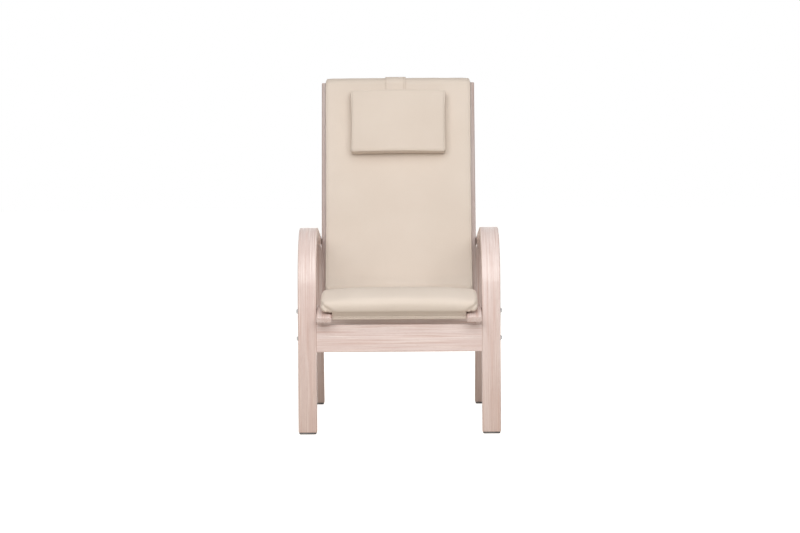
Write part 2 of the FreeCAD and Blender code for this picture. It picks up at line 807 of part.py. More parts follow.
# Seat and back pads meet on the plane that halves the rails' bend.
seat_half = rail_outer.number - val("seat_pad_side_gap")
back_half = rail_outer.number - val("back_pad_side_gap")
draw_in = val("pad_draw_in")
back_top = pad_base + val("back_pad_thick")
back_crown = val("back_pad_crown")
bulge = val("seat_pad_bulge")
crease = (seat_end + back_begin) / 2
seam_gap = val("cloth_gap")
fold_top = pad_base + (val("seat_pad_thick") + val("back_pad_thick")) / 2
seat_stations = [
    (distance, seat_half - val("seat_nose_taper") * drawn, pad_base + val("seat_nose_lift") * drawn,
     seat_top - nose_drop * drawn, seat_crown * (1 - drawn / 2), bulge * (1 - 0.4 * drawn))
    for distance, drawn in seat_nose
]
seat_stations.append((plain_runs[0], seat_half - draw_in * 0.2, pad_base, seat_top, seat_crown, bulge))
seat_stations += [
    (plain_runs[0] + front_arc * part, seat_half - draw_in * (0.2 + 0.4 * part), pad_base, seat_top,
     seat_crown, bulge)
    for part in (0.25, 0.5, 0.75, 1.0)
]
seat_stations += [
    (seat_begin + plain_runs[1] * 0.45, seat_half - draw_in, pad_base, seat_top, seat_crown, bulge),
    (seat_end, back_half + draw_in * 0.4, pad_base, seat_top, seat_crown, bulge),
]
seat_stations += [
    (seat_end + (crease - seat_end) * part, back_half + draw_in * 0.2, pad_base,
     seat_top + (fold_top - seat_top) * part, seat_crown * (1 - 0.6 * part), bulge)
    for part in (0.25, 0.5, 0.75)
]
seat_stations.append((crease - seam_gap, back_half, pad_base, fold_top, seat_crown * 0.4, bulge))
padded("seat_cover", "seat_foam", rail_course.at, seat_stations)

bulge = val("back_pad_bulge")
back_stations = [(crease + seam_gap, back_half, pad_base, fold_top, seat_crown * 0.4, bulge)]
back_stations += [
    (crease + (back_begin - crease) * part, back_half - draw_in * 0.2, pad_base,
     fold_top + (back_top - fold_top) * part,
     seat_crown * 0.4 + (back_crown - seat_crown * 0.4) * part, bulge)
    for part in (0.25, 0.5, 0.75, 1.0)
]
pad_top = top + val("back_pad_overhang")
roll = val("back_pad_nose")
back_stations += [
    (back_begin + plain_runs[2] * 0.45, back_half - draw_in * 0.6, pad_base, back_top, back_crown, bulge),
    (pad_top - roll, back_half, pad_base, back_top, back_crown, bulge),
]
back_stations += [
    (pad_top - roll * (1 - math.sin(turn)), back_half - val("back_nose_taper") * (1 - math.cos(turn)),
     pad_base, back_top - roll * (1 - math.cos(turn)), back_crown * (0.4 + 0.6 * math.cos(turn)),
     bulge * (1 - 0.4 * math.sin(turn)))
    for turn in (math.radians(degrees) for degrees in (30, 55, 75, 90))
]
padded("back_cover", "back_foam", rail_course.at, back_stations)

# Front flap of the cover, wrapped round the front crossbar, and the hood that slips over the rails' tops.
flap_thick = size("flap_thick")
cloth_gap = size("cloth_gap")
wrap = rail_half + cloth_gap + flap_thick / 2
flap = new_body("cover_front_flap")
flap_radius = size("bar_round") - flap_thick
bar_front = size("front_bar_setback") - cloth_gap - flap_thick / 2
flap_start = (size("front_bar_setback") + size("front_bar_depth") - size("bar_round"), wrap)
outline = strip_outline(
    flap, flap_start, Size.of(180),
    [flap_start[0] - bar_front - flap_radius, 2 * wrap - 2 * flap_radius, size("flap_return")],
    [(flap_radius, Size.of(90)), (flap_radius, Size.of(90))], flap_thick,
)
flap_half = rail_inner - size("flap_side_gap")
pad(flap, outline, 2 * flap_half)
put(flap, rail_course.at(0.0)[0], tip_slope.number, -flap_half.number)

hood = new_body("cover_top_hood")
hood_radius = 2.5 * flap_thick
hood_rise = 2 * flap_thick
outline = strip_outline(
    hood, (-size("hood_front"), wrap), Size.of(0),
    [size("hood_front") + hood_rise - hood_radius, 2 * wrap - 2 * hood_radius, size("hood_rear")],
    [(hood_radius, Size.of(-90)), (hood_radius, Size.of(-90))], flap_thick,
)
hood_half = rail_outer - size("hood_side_gap")
pad(hood, outline, 2 * hood_half)
put(hood, rail_course.at(top)[0], back_heading, -hood_half.number)

# Headrest on a strap that runs over the back's top to a weight hanging behind.
strap_thick = size("strap_thick")
strap_half = size("strap_width") / 2
back_face = size("rail_thick") / 2 + size("webbing_thick") + size("staple_wire") + cloth_gap
back_face = back_face + size("back_pad_thick") + size("back_pad_crown")
strap_out = back_face + cloth_gap + strap_thick / 2
strap_top = size("back_pad_overhang") + 2 * cloth_gap + strap_thick / 2
strap_bend = size("back_pad_nose") + cloth_gap + strap_thick / 2
hang_bend = 6 * strap_thick
headrest_top = -size("headrest_drop")
over_run = strap_out - strap_bend + wrap + flap_thick
front_run = strap_top - strap_bend - headrest_top + size("strap_tail")
front = new_body("headrest_strap_front")
outline = strip_outline(
    front, (headrest_top - size("strap_tail"), strap_out), Size.of(0),
    [front_run, over_run / 2], [(strap_bend, Size.of(-90))], strap_thick,
)
pad(front, outline, 2 * strap_half)
put(front, rail_course.at(top)[0], back_heading, val("strap_shift") - strap_half.number)

rear = new_body("headrest_strap_rear")
outline = strip_outline(
    rear, (strap_top, strap_out - strap_bend - over_run / 2), Size.of(-90),
    [over_run / 2, size("strap_hang")], [(hang_bend, -(90 - recline))], strap_thick,
)
pad(rear, outline, 2 * strap_half)
put(rear, rail_course.at(top)[0], back_heading, val("strap_shift") - strap_half.number)


def headrest_place(distance):
    """Place on the back's centre line, counted up from the headrest's lower edge."""
    return rail_course.at(top - val("headrest_drop") - val("headrest_length") + distance)


rest_base = strap_out.number + strap_thick.number / 2 + cloth_gap.number
rest_thick = val("headrest_thick")
rest_half = val("headrest_width") / 2
rest_length = val("headrest_length")
rest_crown = val("headrest_crown")
rest_stations = [
    (part * rest_length, rest_half - drawn * val("headrest_draw_in"), rest_base + low * rest_thick,
     rest_base + high * rest_thick, swell * rest_crown, round_off * val("headrest_edge"))
    for part, drawn, low, high, swell, round_off in (
        (0.0, 0.9, 0.08, 0.74, 0.5, 0.7),
        (0.02, 0.3, 0.03, 0.86, 0.7, 0.9),
        (0.08, 0.0, 0.01, 0.9, 0.9, 1.0),
        (0.28, 0.6, 0.0, 0.9, 1.0, 1.0),
        (0.5, 1.0, 0.0, 0.88, 1.0, 1.0),
        (0.72, 0.7, 0.0, 0.85, 1.0, 1.0),
        (0.92, 0.1, 0.004, 0.76, 0.9, 1.0),
        (0.98, 0.3, 0.03, 0.68, 0.7, 0.9),
        (1.0, 0.9, 0.08, 0.56, 0.5, 0.7),
    )
]
padded("headrest_cover", "headrest_foam", headrest_place, rest_stations, val("headrest_shift"))

hang_box = rear.Shape.BoundBox
hang_y = hang_box.YMax - strap_thick.number / 2
hang_z = hang_box.ZMin


def weight_place(distance):
    """Place on the hanging strap's line, counted up from the weight's lower edge."""
    return (hang_y, hang_z - val("weight_length") - cloth_gap.number / 2 + distance), 90.0


weight_half = val("weight_width") / 2
weight_thick = val("weight_thick")
weight_stations = [
    (part * val("weight_length"), weight_half - drawn * val("weight_draw_in"), -deep * weight_thick,
     deep * weight_thick, val("weight_crown"), edge * val("weight_edge"))
    for part, drawn, deep, edge in (
        (0.0, 0.8, 0.16, 0.3),
        (0.05, 0.3, 0.3, 0.6),
        (0.18, 0.0, 0.42, 0.9),
        (0.5, 0.5, 0.44, 1.0),
        (0.82, 0.3, 0.38, 0.9),
        (0.95, 0.5, 0.24, 0.6),
        (1.0, 1.0, 0.16, 0.3),
    )
]
padded("weight_pouch", "weight_core", weight_place, weight_stations, val("strap_shift"), val("weight_crown"))

doc.recompute()
NODES = [
    "side_frame_left", "side_frame_right", "rail_left", "rail_right",
    "front_apron", "rear_stretcher", "front_crossbar", "lumbar_crossbar", "top_crossbar", "crossbar_dowels",
    "rail_bolts", "frame_bolts", "rail_inserts", "barrel_nuts", "rail_spacers", "foot_glides",
    "seat_webbing", "back_webbing", "webbing_staples",
    "seat_cover", "seat_foam", "back_cover", "back_foam", "cover_front_flap", "cover_top_hood",
    "headrest_cover", "headrest_foam", "headrest_strap_front", "headrest_strap_rear",
    "weight_pouch", "weight_core",
]
for item in doc.Objects:
    if {"Invalid", "Error"} & set(item.State):
        raise RuntimeError(f"{item.Name} is {item.State}")
nodes = [doc.getObject(name) for name in NODES]
for node in nodes:
    if node.Shape.isNull() or not node.Shape.isValid():
        raise RuntimeError(f"{node.Label} has no sound shape")

os.makedirs("parts", exist_ok=True)
for node in nodes:
    node.Shape.exportStep(f"parts/{node.Label}.step")
    box = node.Shape.BoundBox
    print(f"{node.Label:22s} solids {len(node.Shape.Solids):3d} volume {node.Shape.Volume / 1000:9.2f} cm3 "
          f"x {box.XMin:7.1f} {box.XMax:7.1f} y {box.YMin:7.1f} {box.YMax:7.1f} "
          f"z {box.ZMin:7.1f} {box.ZMax:7.1f}")
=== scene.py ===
"""Looks of a high-backed bentwood lounge armchair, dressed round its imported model. Lengths are in metres."""
import math

import bmesh
import bpy
import numpy as np
from mathutils import Matrix, Vector


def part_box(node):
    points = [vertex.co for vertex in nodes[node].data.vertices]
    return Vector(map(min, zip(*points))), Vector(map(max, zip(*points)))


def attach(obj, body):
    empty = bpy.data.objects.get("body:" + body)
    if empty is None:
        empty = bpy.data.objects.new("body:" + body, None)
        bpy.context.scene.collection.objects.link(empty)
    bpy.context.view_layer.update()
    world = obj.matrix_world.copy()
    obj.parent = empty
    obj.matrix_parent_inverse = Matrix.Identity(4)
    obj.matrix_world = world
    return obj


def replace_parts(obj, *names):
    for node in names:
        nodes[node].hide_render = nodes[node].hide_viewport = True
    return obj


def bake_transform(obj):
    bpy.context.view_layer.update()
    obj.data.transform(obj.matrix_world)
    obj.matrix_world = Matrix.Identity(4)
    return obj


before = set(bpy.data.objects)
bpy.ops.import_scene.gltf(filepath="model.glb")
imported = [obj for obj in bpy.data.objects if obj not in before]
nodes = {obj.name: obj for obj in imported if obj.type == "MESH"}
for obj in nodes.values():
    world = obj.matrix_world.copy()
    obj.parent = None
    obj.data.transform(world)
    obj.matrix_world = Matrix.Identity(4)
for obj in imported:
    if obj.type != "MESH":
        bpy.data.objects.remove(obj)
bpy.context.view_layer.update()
scene = bpy.context.scene


# ------------------------------------------------------------------ centre lines in the side plane
STATION_STEP, SPARE_RUN = 0.0005, 0.09


def bent_line(start, heading, runs, bends=()):
    """Centre line of a bent strip in the side plane, as a table of stations half a millimetre apart.

    The heading grows evenly along each arc and stays on each straight run; the place is the running sum of
    (cos, sin) of the heading. Both end runs carry on straight by a spare length.
    """
    lengths, turns = [runs[0] + SPARE_RUN], [0.0]
    for (radius, turn), run in zip(bends, runs[1:]):
        lengths += [radius * abs(math.radians(turn)), run]
        turns += [math.radians(turn), 0.0]
    lengths[-1] += SPARE_RUN
    knots = np.concatenate([[0.0], np.cumsum(lengths)])
    turned = math.radians(heading) + np.concatenate([[0.0], np.cumsum(turns)])
    along = np.linspace(0.0, knots[-1], int(knots[-1] / STATION_STEP) + 1)
    middle = np.interp((along[1:] + along[:-1]) / 2, knots, turned)
    pace = np.diff(along)
    y, z = (np.concatenate([[0.0], np.cumsum(pace * part(middle))]) for part in (np.cos, np.sin))
    return {
        "along": along - SPARE_RUN,
        "y": y + start[0] - SPARE_RUN * math.cos(turned[0]),
        "z": z + start[1] - SPARE_RUN * math.sin(turned[0]),
        "angle": np.interp(along, knots, turned),
        "length": knots[-1] - 2 * SPARE_RUN,
    }


def on_line(line, along, across, lift):
    """Points at a distance along a centre line, at x across the chair, lifted square to the line."""
    along, across, lift = np.broadcast_arrays(along, across, lift)
    y, z, angle = (np.interp(along, line["along"], line[key]) for key in ("y", "z", "angle"))
    return np.stack([across, y - lift * np.sin(angle), z + lift * np.cos(angle)], axis=-1)


def off_line(line, points):
    """Distance along a centre line and lift from it of each point: the nearest of every fourth station of the
    table, refined by the step along its own heading."""
    table = np.stack([line["y"], line["z"]], axis=1)[::4]
    nearest = np.concatenate([
        np.argmin(((part[:, None, 1:] - table[None]) ** 2).sum(axis=2), axis=1)
        for part in np.array_split(points, max(1, len(points) // 4000))
    ]) * 4
    angle = line["angle"][nearest]
    gap = points[:, 1:] - np.stack([line["y"][nearest], line["z"][nearest]], axis=1)
    ahead = gap[:, 0] * np.cos(angle) + gap[:, 1] * np.sin(angle)
    lift = gap[:, 1] * np.cos(angle) - gap[:, 0] * np.sin(angle)
    return line["along"][nearest] + ahead, lift


def sine(degrees):
    return math.sin(math.radians(degrees))


def cosine(degrees):
    return math.cos(math.radians(degrees))


# Side frames: front leg, wide bend, arm, tight bend and rear leg.
FRONT_LEAN, REAR_LEAN, ARM_SLOPE = 3.0, 12.0, 9.0
FRONT_RADIUS, REAR_RADIUS = 0.175, 0.075
ARM_TOP, ARM_STRAIGHT, FOOT_Z = 0.622, 0.310, 0.006
ARM_HALF, ARM_DEPTH = 0.0285, 0.015
FRAME_X = 0.253 + ARM_HALF
front_foot_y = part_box("side_frame_left")[0].y
leg_y = front_foot_y + ARM_DEPTH / cosine(FRONT_LEAN)
bend_middle_z = ARM_TOP - FRONT_RADIUS - ARM_DEPTH
front_leg = (bend_middle_z + FRONT_RADIUS * sine(FRONT_LEAN) - FOOT_Z) / cosine(FRONT_LEAN)
rear_bend_z = bend_middle_z + FRONT_RADIUS * cosine(ARM_SLOPE) - ARM_STRAIGHT * sine(ARM_SLOPE)
rear_leg = (rear_bend_z + REAR_RADIUS * (sine(REAR_LEAN) - cosine(ARM_SLOPE)) - FOOT_Z) / cosine(REAR_LEAN)
frame_line = bent_line(
    (leg_y, FOOT_Z), 90 - FRONT_LEAN, (front_leg, ARM_STRAIGHT, rear_leg),
    ((FRONT_RADIUS, FRONT_LEAN - 90 - ARM_SLOPE), (REAR_RADIUS, ARM_SLOPE - 90 + REAR_LEAN)),
)

# Rails: tip, seat and back, with a bend between each two.
TIP_SLOPE, SEAT_SLOPE, BACK_HEADING = 21.0, 6.0, 75.0
TIP_RUN, SEAT_RUN, BACK_RUN = 0.066, 0.300, 0.659
TIP_RADIUS, CREASE_RADIUS = 0.070, 0.120
TIP_TURN, CREASE_TURN = TIP_SLOPE + SEAT_SLOPE, BACK_HEADING + SEAT_SLOPE
RAIL_X, RAIL_HALF, RAIL_DEPTH = 0.229, 0.023, 0.009
BOLT_Z, BOLT_FROM_TIP = 0.376, 0.062
bolt_y = leg_y + (BOLT_Z - FOOT_Z) * math.tan(math.radians(FRONT_LEAN))
rail_tip = (bolt_y - BOLT_FROM_TIP * cosine(TIP_SLOPE), BOLT_Z - BOLT_FROM_TIP * sine(TIP_SLOPE))
rail_line = bent_line(
    rail_tip, TIP_SLOPE, (TIP_RUN, SEAT_RUN, BACK_RUN), ((TIP_RADIUS, -TIP_TURN), (CREASE_RADIUS, CREASE_TURN))
)
RAIL_TOP = rail_line["length"]
SEAT_BEGIN = TIP_RUN + TIP_RADIUS * math.radians(TIP_TURN)
SEAT_END = SEAT_BEGIN + SEAT_RUN
BACK_BEGIN = SEAT_END + CREASE_RADIUS * math.radians(CREASE_TURN)
CREASE = (SEAT_END + BACK_BEGIN) / 2


# ------------------------------------------------------------------ meshes from arrays
def grid_faces(rows, columns, closed):
    """Quads of a grid of points, row by row; closed joins the last column to the first."""
    row = np.arange(rows - 1)[:, None] * columns
    column = np.arange(columns if closed else columns - 1)[None, :]
    after = (column + 1) % columns
    quads = [row + column, row + after, row + columns + after, row + columns + column]
    return np.stack(np.broadcast_arrays(*quads), axis=-1).reshape(-1, 4)


def skin(rings):
    """Closed skin through a stack of rings: quads between the rings, and a fan to the middle of each end."""
    rows, columns, width = rings.shape
    points = np.concatenate([rings.reshape(-1, width), rings[[0, -1]].mean(axis=1)])
    edge = np.arange(columns)
    after = np.roll(edge, -1)
    last = (rows - 1) * columns
    low = np.stack([after, edge, np.full(columns, rows * columns)], axis=1)
    high = np.stack([last + edge, last + after, np.full(columns, rows * columns + 1)], axis=1)
    return points, grid_faces(rows, columns, True).tolist() + low.tolist() + high.tolist()


def joined(parts):
    """Several (points, faces) parts as one: the face numbers of each part are moved on by the points before it."""
    points, faces, before = [], [], 0
    for part_points, part_faces in parts:
        points.append(part_points)
        faces += [[corner + before for corner in face] for face in part_faces]
        before += len(part_points)
    return np.concatenate(points), faces


def new_mesh(name, points, faces):
    """Mesh of points and faces, smooth shaded, with its faces turned outwards."""
    mesh = bpy.data.meshes.new(name)
    mesh.from_pydata(points[:, :3].tolist(), [], faces)
    work = bmesh.new()
    work.from_mesh(mesh)
    bmesh.ops.recalc_face_normals(work, faces=work.faces)
    work.to_mesh(mesh)
    work.free()
    mesh.shade_smooth()
    mesh.update()
    return mesh


def mark(mesh, name, values):
    """Writes a number or a vector per point as a named attribute of the mesh."""
    wide = values.ndim == 2
    attribute = mesh.attributes.new(name, "FLOAT_VECTOR" if wide else "FLOAT", "POINT")
    attribute.data.foreach_set("vector" if wide else "value", values.astype(np.float32).ravel())


def cloth_mesh(name, parts):
    """Mesh of several (points, faces) parts; each point carries its place on the cloth after its own place."""
    points, faces = joined(parts)
    mesh = new_mesh(name, points, faces)
    mark(mesh, "cloth", points[:, 3:6])
    return mesh


def new_piece(mesh, finish, body=None):
    """Object of a mesh with one finish; it rides on a body of the chair when one is given."""
    piece = bpy.data.objects.new(mesh.name, mesh)
    scene.collection.objects.link(piece)
    mesh.materials.append(finish)
    if body:
        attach(piece, body)
    return piece


def gathered(items, key):
    """Three numbers of each item of a mesh, as an array."""
    values = np.zeros(len(items) * 3, np.float32)
    items.foreach_get(key, values)
    return values.reshape(-1, 3).astype(float)


def point_array(mesh):
    return gathered(mesh.vertices, "co")


def normal_array(mesh):
    return gathered(mesh.vertex_normals, "vector")


def unit(vectors):
    """Vectors of length one."""
    return vectors / np.maximum(np.linalg.norm(vectors, axis=-1, keepdims=True), 1e-12)


def fading(value, start, width):
    """One up to a start, then falling in a straight line to zero a width further on."""
    return np.clip(1 - (value - start) / width, 0, 1)


# ------------------------------------------------------------------ finishes
def linear(red, green, blue):
    """Linear colour of an sRGB colour given from 0 to 255."""
    part = np.array([red, green, blue]) / 255
    part = np.where(part <= 0.04045, part / 12.92, ((part + 0.055) / 1.055) ** 2.4)
    return (*part.tolist(), 1.0)


def fed(tree, made, sockets):
    """Node with its sockets filled; a socket, named or numbered, takes a value or a link."""
    for key, value in sockets.items():
        if isinstance(value, bpy.types.NodeSocket):
            tree.links.new(value, made.inputs[key])
        else:
            made.inputs[key].default_value = value
    return made


def shader_node(tree, kind, settings=None, sockets=None):
    """New node of a shader tree, with its settings and sockets."""
    made = tree.nodes.new("ShaderNode" + kind)
    for key, value in (settings or {}).items():
        setattr(made, key, value)
    return fed(tree, made, sockets or {})


def sums(tree, operation, first, second=0.0, third=0.0):
    return shader_node(tree, "Math", {"operation": operation}, {0: first, 1: second, 2: third}).outputs[0]


def times(tree, vector, factors):
    return shader_node(tree, "VectorMath", {"operation": "MULTIPLY"}, {0: vector, 1: factors}).outputs[0]


def noise(tree, vector, scale=1.0, detail=3.0, rough=0.55):
    sockets = {"Vector": vector, "Scale": scale, "Detail": detail, "Roughness": rough}
    return shader_node(tree, "TexNoise", None, sockets).outputs[0]


def band(tree, value, low, high, out_low=0.0, out_high=1.0):
    """Smooth step of a value between two levels."""
    sockets = {"Value": value, "From Min": low, "From Max": high, "To Min": out_low, "To Max": out_high}
    return shader_node(tree, "MapRange", {"interpolation_type": "SMOOTHSTEP"}, sockets).outputs[0]


def blended(tree, factor, first, second, mode="MIX"):
    sockets = {0: factor, 6: first, 7: second}
    return shader_node(tree, "Mix", {"data_type": "RGBA", "blend_type": mode}, sockets).outputs[2]


def new_group(name, inputs, outputs):
    """Empty shader node group with named sockets; returns its tree, the sockets that are given to it and its
    output node."""
    tree = bpy.data.node_groups.new(name, "ShaderNodeTree")
    for label, kind, value in inputs:
        socket = tree.interface.new_socket(label, in_out="INPUT", socket_type="NodeSocket" + kind)
        if value is not None:
            socket.default_value = value
    for label, kind in outputs:
        tree.interface.new_socket(label, in_out="OUTPUT", socket_type="NodeSocket" + kind)
    return tree, tree.nodes.new("NodeGroupInput").outputs, tree.nodes.new("NodeGroupOutput")


def lime_washed_grain():
    """Grain of lime-washed wood: Place is (across, depth, along) in metres. Long soft tone bands, thin brown and
    white streaks and short open pores all stretch along the length; thin glue lines part the layers in the depth."""
    tree, given, result = new_group(
        "lime_washed_grain",
        [("Place", "Vector", None), ("Layer", "Float", 0.00214), ("Layers shown", "Float", 1.0)],
        [("Colour", "Color"), ("Roughness", "Float"), ("Height", "Float")],
    )
    place = given["Place"]
    # Waves per metre across and along, detail and roughness of each noise.
    tone, flame, streak, wash, pore, fibre = (
        noise(tree, times(tree, place, (across, across, along)), detail=detail, rough=rough)
        for across, along, detail, rough in (
            (26.0, 1.7, 3.0, 0.55), (75.0, 2.4, 4.0, 0.6), (340.0, 3.4, 2.0, 0.5), (450.0, 5.2, 2.0, 0.5),
            (1500.0, 55.0, 2.0, 0.55), (2600.0, 60.0, 2.0, 0.55),
        )
    )
    colour = blended(tree, band(tree, tone, 0.36, 0.66), linear(224, 207, 203), linear(213, 191, 185))
    for pattern, low, high, share, tint in (
        (flame, 0.5, 0.72, 0.5, (213, 182, 170)), (wash, 0.55, 0.68, 0.5, (246, 236, 231)),
        (streak, 0.55, 0.66, 0.6, (193, 156, 143)), (pore, 0.58, 0.7, 0.35, (178, 146, 132)),
        (fibre, 0.3, 0.7, 0.12, (246, 238, 234)),
    ):
        colour = blended(tree, band(tree, pattern, low, high, 0.0, share), colour, linear(*tint))
    depth = shader_node(tree, "SeparateXYZ", None, {0: place}).outputs[1]
    layer = sums(tree, "FRACT", sums(tree, "ADD", sums(tree, "DIVIDE", depth, given["Layer"]), 64.5))
    line = band(tree, sums(tree, "ABSOLUTE", sums(tree, "SUBTRACT", layer, 0.5)), 0.37, 0.47)
    line = sums(tree, "MULTIPLY", line, given["Layers shown"])
    colour = blended(tree, sums(tree, "MULTIPLY", line, 0.5), colour, linear(176, 146, 131))
    rough = sums(tree, "ADD", band(tree, flame, 0.3, 0.7, 0.32, 0.44), band(tree, pore, 0.56, 0.7, 0.0, 0.2))
    height = band(tree, fibre, 0.2, 0.8, 0.0, 0.35)
    for hollow in (band(tree, pore, 0.56, 0.7), band(tree, streak, 0.5, 0.75, 0.0, 0.5), line):
        height = sums(tree, "SUBTRACT", height, hollow)
    fed(tree, result, {"Colour": colour, "Roughness": rough, "Height": height})
    return tree


def plain_weave():
    """Plain weave: the product of two sines, one per thread direction, with threads of slightly uneven
    thickness. Place is (across, along) on the cloth in metres, Threads the number per metre."""
    tree, given, result = new_group(
        "plain_weave",
        [("Place", "Vector", None), ("Threads", "Float", 900.0)],
        [("Height", "Float"), ("Shade", "Float")],
    )
    slack, warp_slub, weft_slub = (
        noise(tree, times(tree, given["Place"], stretch), detail=2.0)
        for stretch in ((160.0, 160.0, 160.0), (1500.0, 90.0, 90.0), (90.0, 1500.0, 90.0))
    )
    slub = sums(tree, "ADD", warp_slub, weft_slub)
    parts = shader_node(tree, "SeparateXYZ", None, {0: given["Place"]}).outputs
    step = sums(tree, "MULTIPLY", given["Threads"], math.pi)
    sway = sums(tree, "MULTIPLY", slack, 3.0)
    waves = [sums(tree, "SINE", sums(tree, "ADD", sums(tree, "MULTIPLY", part, step), sway)) for part in parts[:2]]
    height = sums(tree, "MULTIPLY_ADD", sums(tree, "MULTIPLY", *waves), 0.5, 0.5)
    height = sums(tree, "ADD", height, sums(tree, "MULTIPLY", slub, 0.35))
    # Shade is low in the hollows between threads; the finishes use it as painted shade.
    fed(tree, result, {"Height": height, "Shade": band(tree, height, 0.2, 1.2)})
    return tree


def soft_mottle():
    """Uneven tone of a large surface: slow clouds and a finer speckle, from 0 to 1, round one half."""
    tree, given, result = new_group(
        "soft_mottle",
        [("Place", "Vector", None), ("Clouds", "Float", 7.0)],
        [("Clouds", "Float"), ("Speckle", "Float")],
    )
    clouds = noise(tree, given["Place"], given["Clouds"], detail=4.0, rough=0.5)
    speckle = noise(tree, given["Place"], sums(tree, "MULTIPLY", given["Clouds"], 40.0), detail=3.0, rough=0.6)
    fed(tree, result, {"Clouds": clouds, "Speckle": speckle})
    return tree


grain_group, weave_group, mottle_group = lime_washed_grain(), plain_weave(), soft_mottle()


def new_finish(name, **constants):
    """Material with one Principled shader; values that are the same all over are set on its own sockets."""
    finish = bpy.data.materials.new(name)
    finish.use_nodes = True
    tree = finish.node_tree
    fed(tree, tree.nodes["Principled BSDF"], {key.replace("_", " "): value for key, value in constants.items()})
    return finish, tree


def use_group(tree, group, **sockets):
    """Node group placed in a material with its own values."""
    made = shader_node(tree, "Group", {"node_tree": group})
    return fed(tree, made, {key.replace("_", " "): value for key, value in sockets.items()}).outputs


def painted(finish, colour, rough, height, relief):
    """Finish whose shader takes a colour, a roughness and a height, raised by a relief in metres."""
    tree = finish.node_tree
    normal = shader_node(tree, "Bump", None, {"Height": height, "Distance": relief}).outputs["Normal"]
    fed(tree, tree.nodes["Principled BSDF"], {"Base Color": colour, "Roughness": rough, "Normal": normal})
    return finish


def marked(tree, attribute, output="Vector"):
    """What was marked on the points of the piece."""
    return shader_node(tree, "Attribute", {"attribute_name": attribute}).outputs[output]


def object_place(tree, turn=(0.0, 0.0, 0.0), shift=(0.0, 0.0, 0.0)):
    """Object coordinates turned and shifted by a Mapping node."""
    coordinates = shader_node(tree, "TexCoord").outputs["Object"]
    sockets = {"Vector": coordinates, "Rotation": turn, "Location": shift}
    return shader_node(tree, "Mapping", None, sockets).outputs[0]


def limed_wood(name, layer, place=None, layers_shown=1.0, painted_shade_tone=None):
    """Lacquered lime-washed wood; bent pieces read the place on their own strip, boards read Object coordinates.
    Bent pieces are rubbed along their edges, and are darkened by a tone as painted shade where that is marked on them."""
    finish, tree = new_finish(name, Specular_IOR_Level=0.3, Coat_Weight=0.35, Coat_Roughness=0.15)
    at = place(tree) if place else marked(tree, "grain")
    grain = use_group(tree, grain_group, Place=at, Layer=layer, Layers_shown=layers_shown)
    colour = grain["Colour"]
    if painted_shade_tone:
        breaks = use_group(tree, mottle_group, Place=at, Clouds=18.0)
        worn = band(tree, breaks["Clouds"], 0.4, 0.75, 0.0, 0.4)
        rub = sums(tree, "MULTIPLY", marked(tree, "edge", "Fac"), worn)
        colour = blended(tree, rub, colour, linear(206, 176, 160))
        # Painted shade: the tone multiplies the colour by the share of shade marked on the points.
        colour = blended(tree, marked(tree, "painted_shade_share", "Fac"), colour, painted_shade_tone, "MULTIPLY")
    return painted(finish, colour, grain["Roughness"], grain["Height"], 0.00012)


def along_x(tree):
    """Grain place of a board that runs across the chair: across is z, depth is y, along is x."""
    parts = shader_node(tree, "SeparateXYZ", None, {0: object_place(tree, shift=(0.7, 0.3, 0.2))}).outputs
    return shader_node(tree, "CombineXYZ", None, {0: parts[2], 1: parts[1], 2: parts[0]}).outputs[0]


def cover_cloth(name, colour, threads, relief):
    """Plain woven upholstery cloth with slow tone clouds, painted shade in the hollows between threads and a soft
    sheen.
    """
    finish, tree = new_finish(name, Sheen_Weight=0.12, Sheen_Roughness=0.5, Specular_IOR_Level=0.2)
    weave = use_group(tree, weave_group, Place=marked(tree, "cloth"), Threads=threads)
    mottle = use_group(tree, mottle_group, Place=object_place(tree), Clouds=5.0)
    tone = blended(tree, band(tree, mottle["Clouds"], 0.25, 0.75, 0.0, 0.22), colour, CREAM_DEEP)
    # Painted shade: the cloth goes toward the deep cream where the weave is low, in the hollows between threads.
    tone = blended(tree, band(tree, weave["Shade"], 1.0, 0.0, 0.0, 0.3), tone, CREAM_DEEP)
    return painted(finish, tone, band(tree, mottle["Speckle"], 0.2, 0.8, 0.82, 0.96), weave["Height"], relief)


def sewing_thread():
    """Twisted sewing thread: fine slanting plies on Object coordinates. Its tone is darker than the cloth's partly as
    painted shade along the sewn rows.
    """
    finish, tree = new_finish("sewing_thread", Sheen_Weight=0.1, Specular_IOR_Level=0.3)
    at = object_place(tree, turn=(0.6, 0.4, 0.8))
    mottle = use_group(tree, mottle_group, Place=at, Clouds=60.0)
    ply = shader_node(tree, "TexWave", None, {"Vector": at, "Scale": 900.0, "Distortion": 1.0}).outputs["Fac"]
    # Partly painted shade: the thread's tone is darker than the cloth so that the sewn rows read as shaded lines.
    tone = blended(tree, band(tree, mottle["Clouds"], 0.3, 0.7), linear(176, 154, 136), linear(150, 128, 110))
    return painted(finish, tone, band(tree, ply, 0.0, 1.0, 0.6, 0.8), ply, 0.0001)


def elastic_band():
    """Woven elastic webbing: ribs across the band, painted shade in the hollows between its threads, and two lighter
    stripes along it.
    """
    finish, tree = new_finish("elastic_band", Sheen_Weight=0.1, Specular_IOR_Level=0.25)
    at = marked(tree, "cloth")
    weave = use_group(tree, weave_group, Place=at, Threads=620.0)
    across = sums(tree, "ABSOLUTE", shader_node(tree, "SeparateXYZ", None, {0: at}).outputs[0])
    stripe = band(tree, sums(tree, "ABSOLUTE", sums(tree, "SUBTRACT", across, 0.014)), 0.0022, 0.0016)
    # Painted shade: dark in the hollows between threads, lighter on their tops.
    tone = blended(tree, weave["Shade"], linear(62, 54, 48), linear(98, 88, 78))
    tone = blended(tree, stripe, tone, linear(158, 142, 124))
    return painted(finish, tone, band(tree, weave["Shade"], 0.0, 1.0, 0.9, 0.7), weave["Height"], 0.0004)


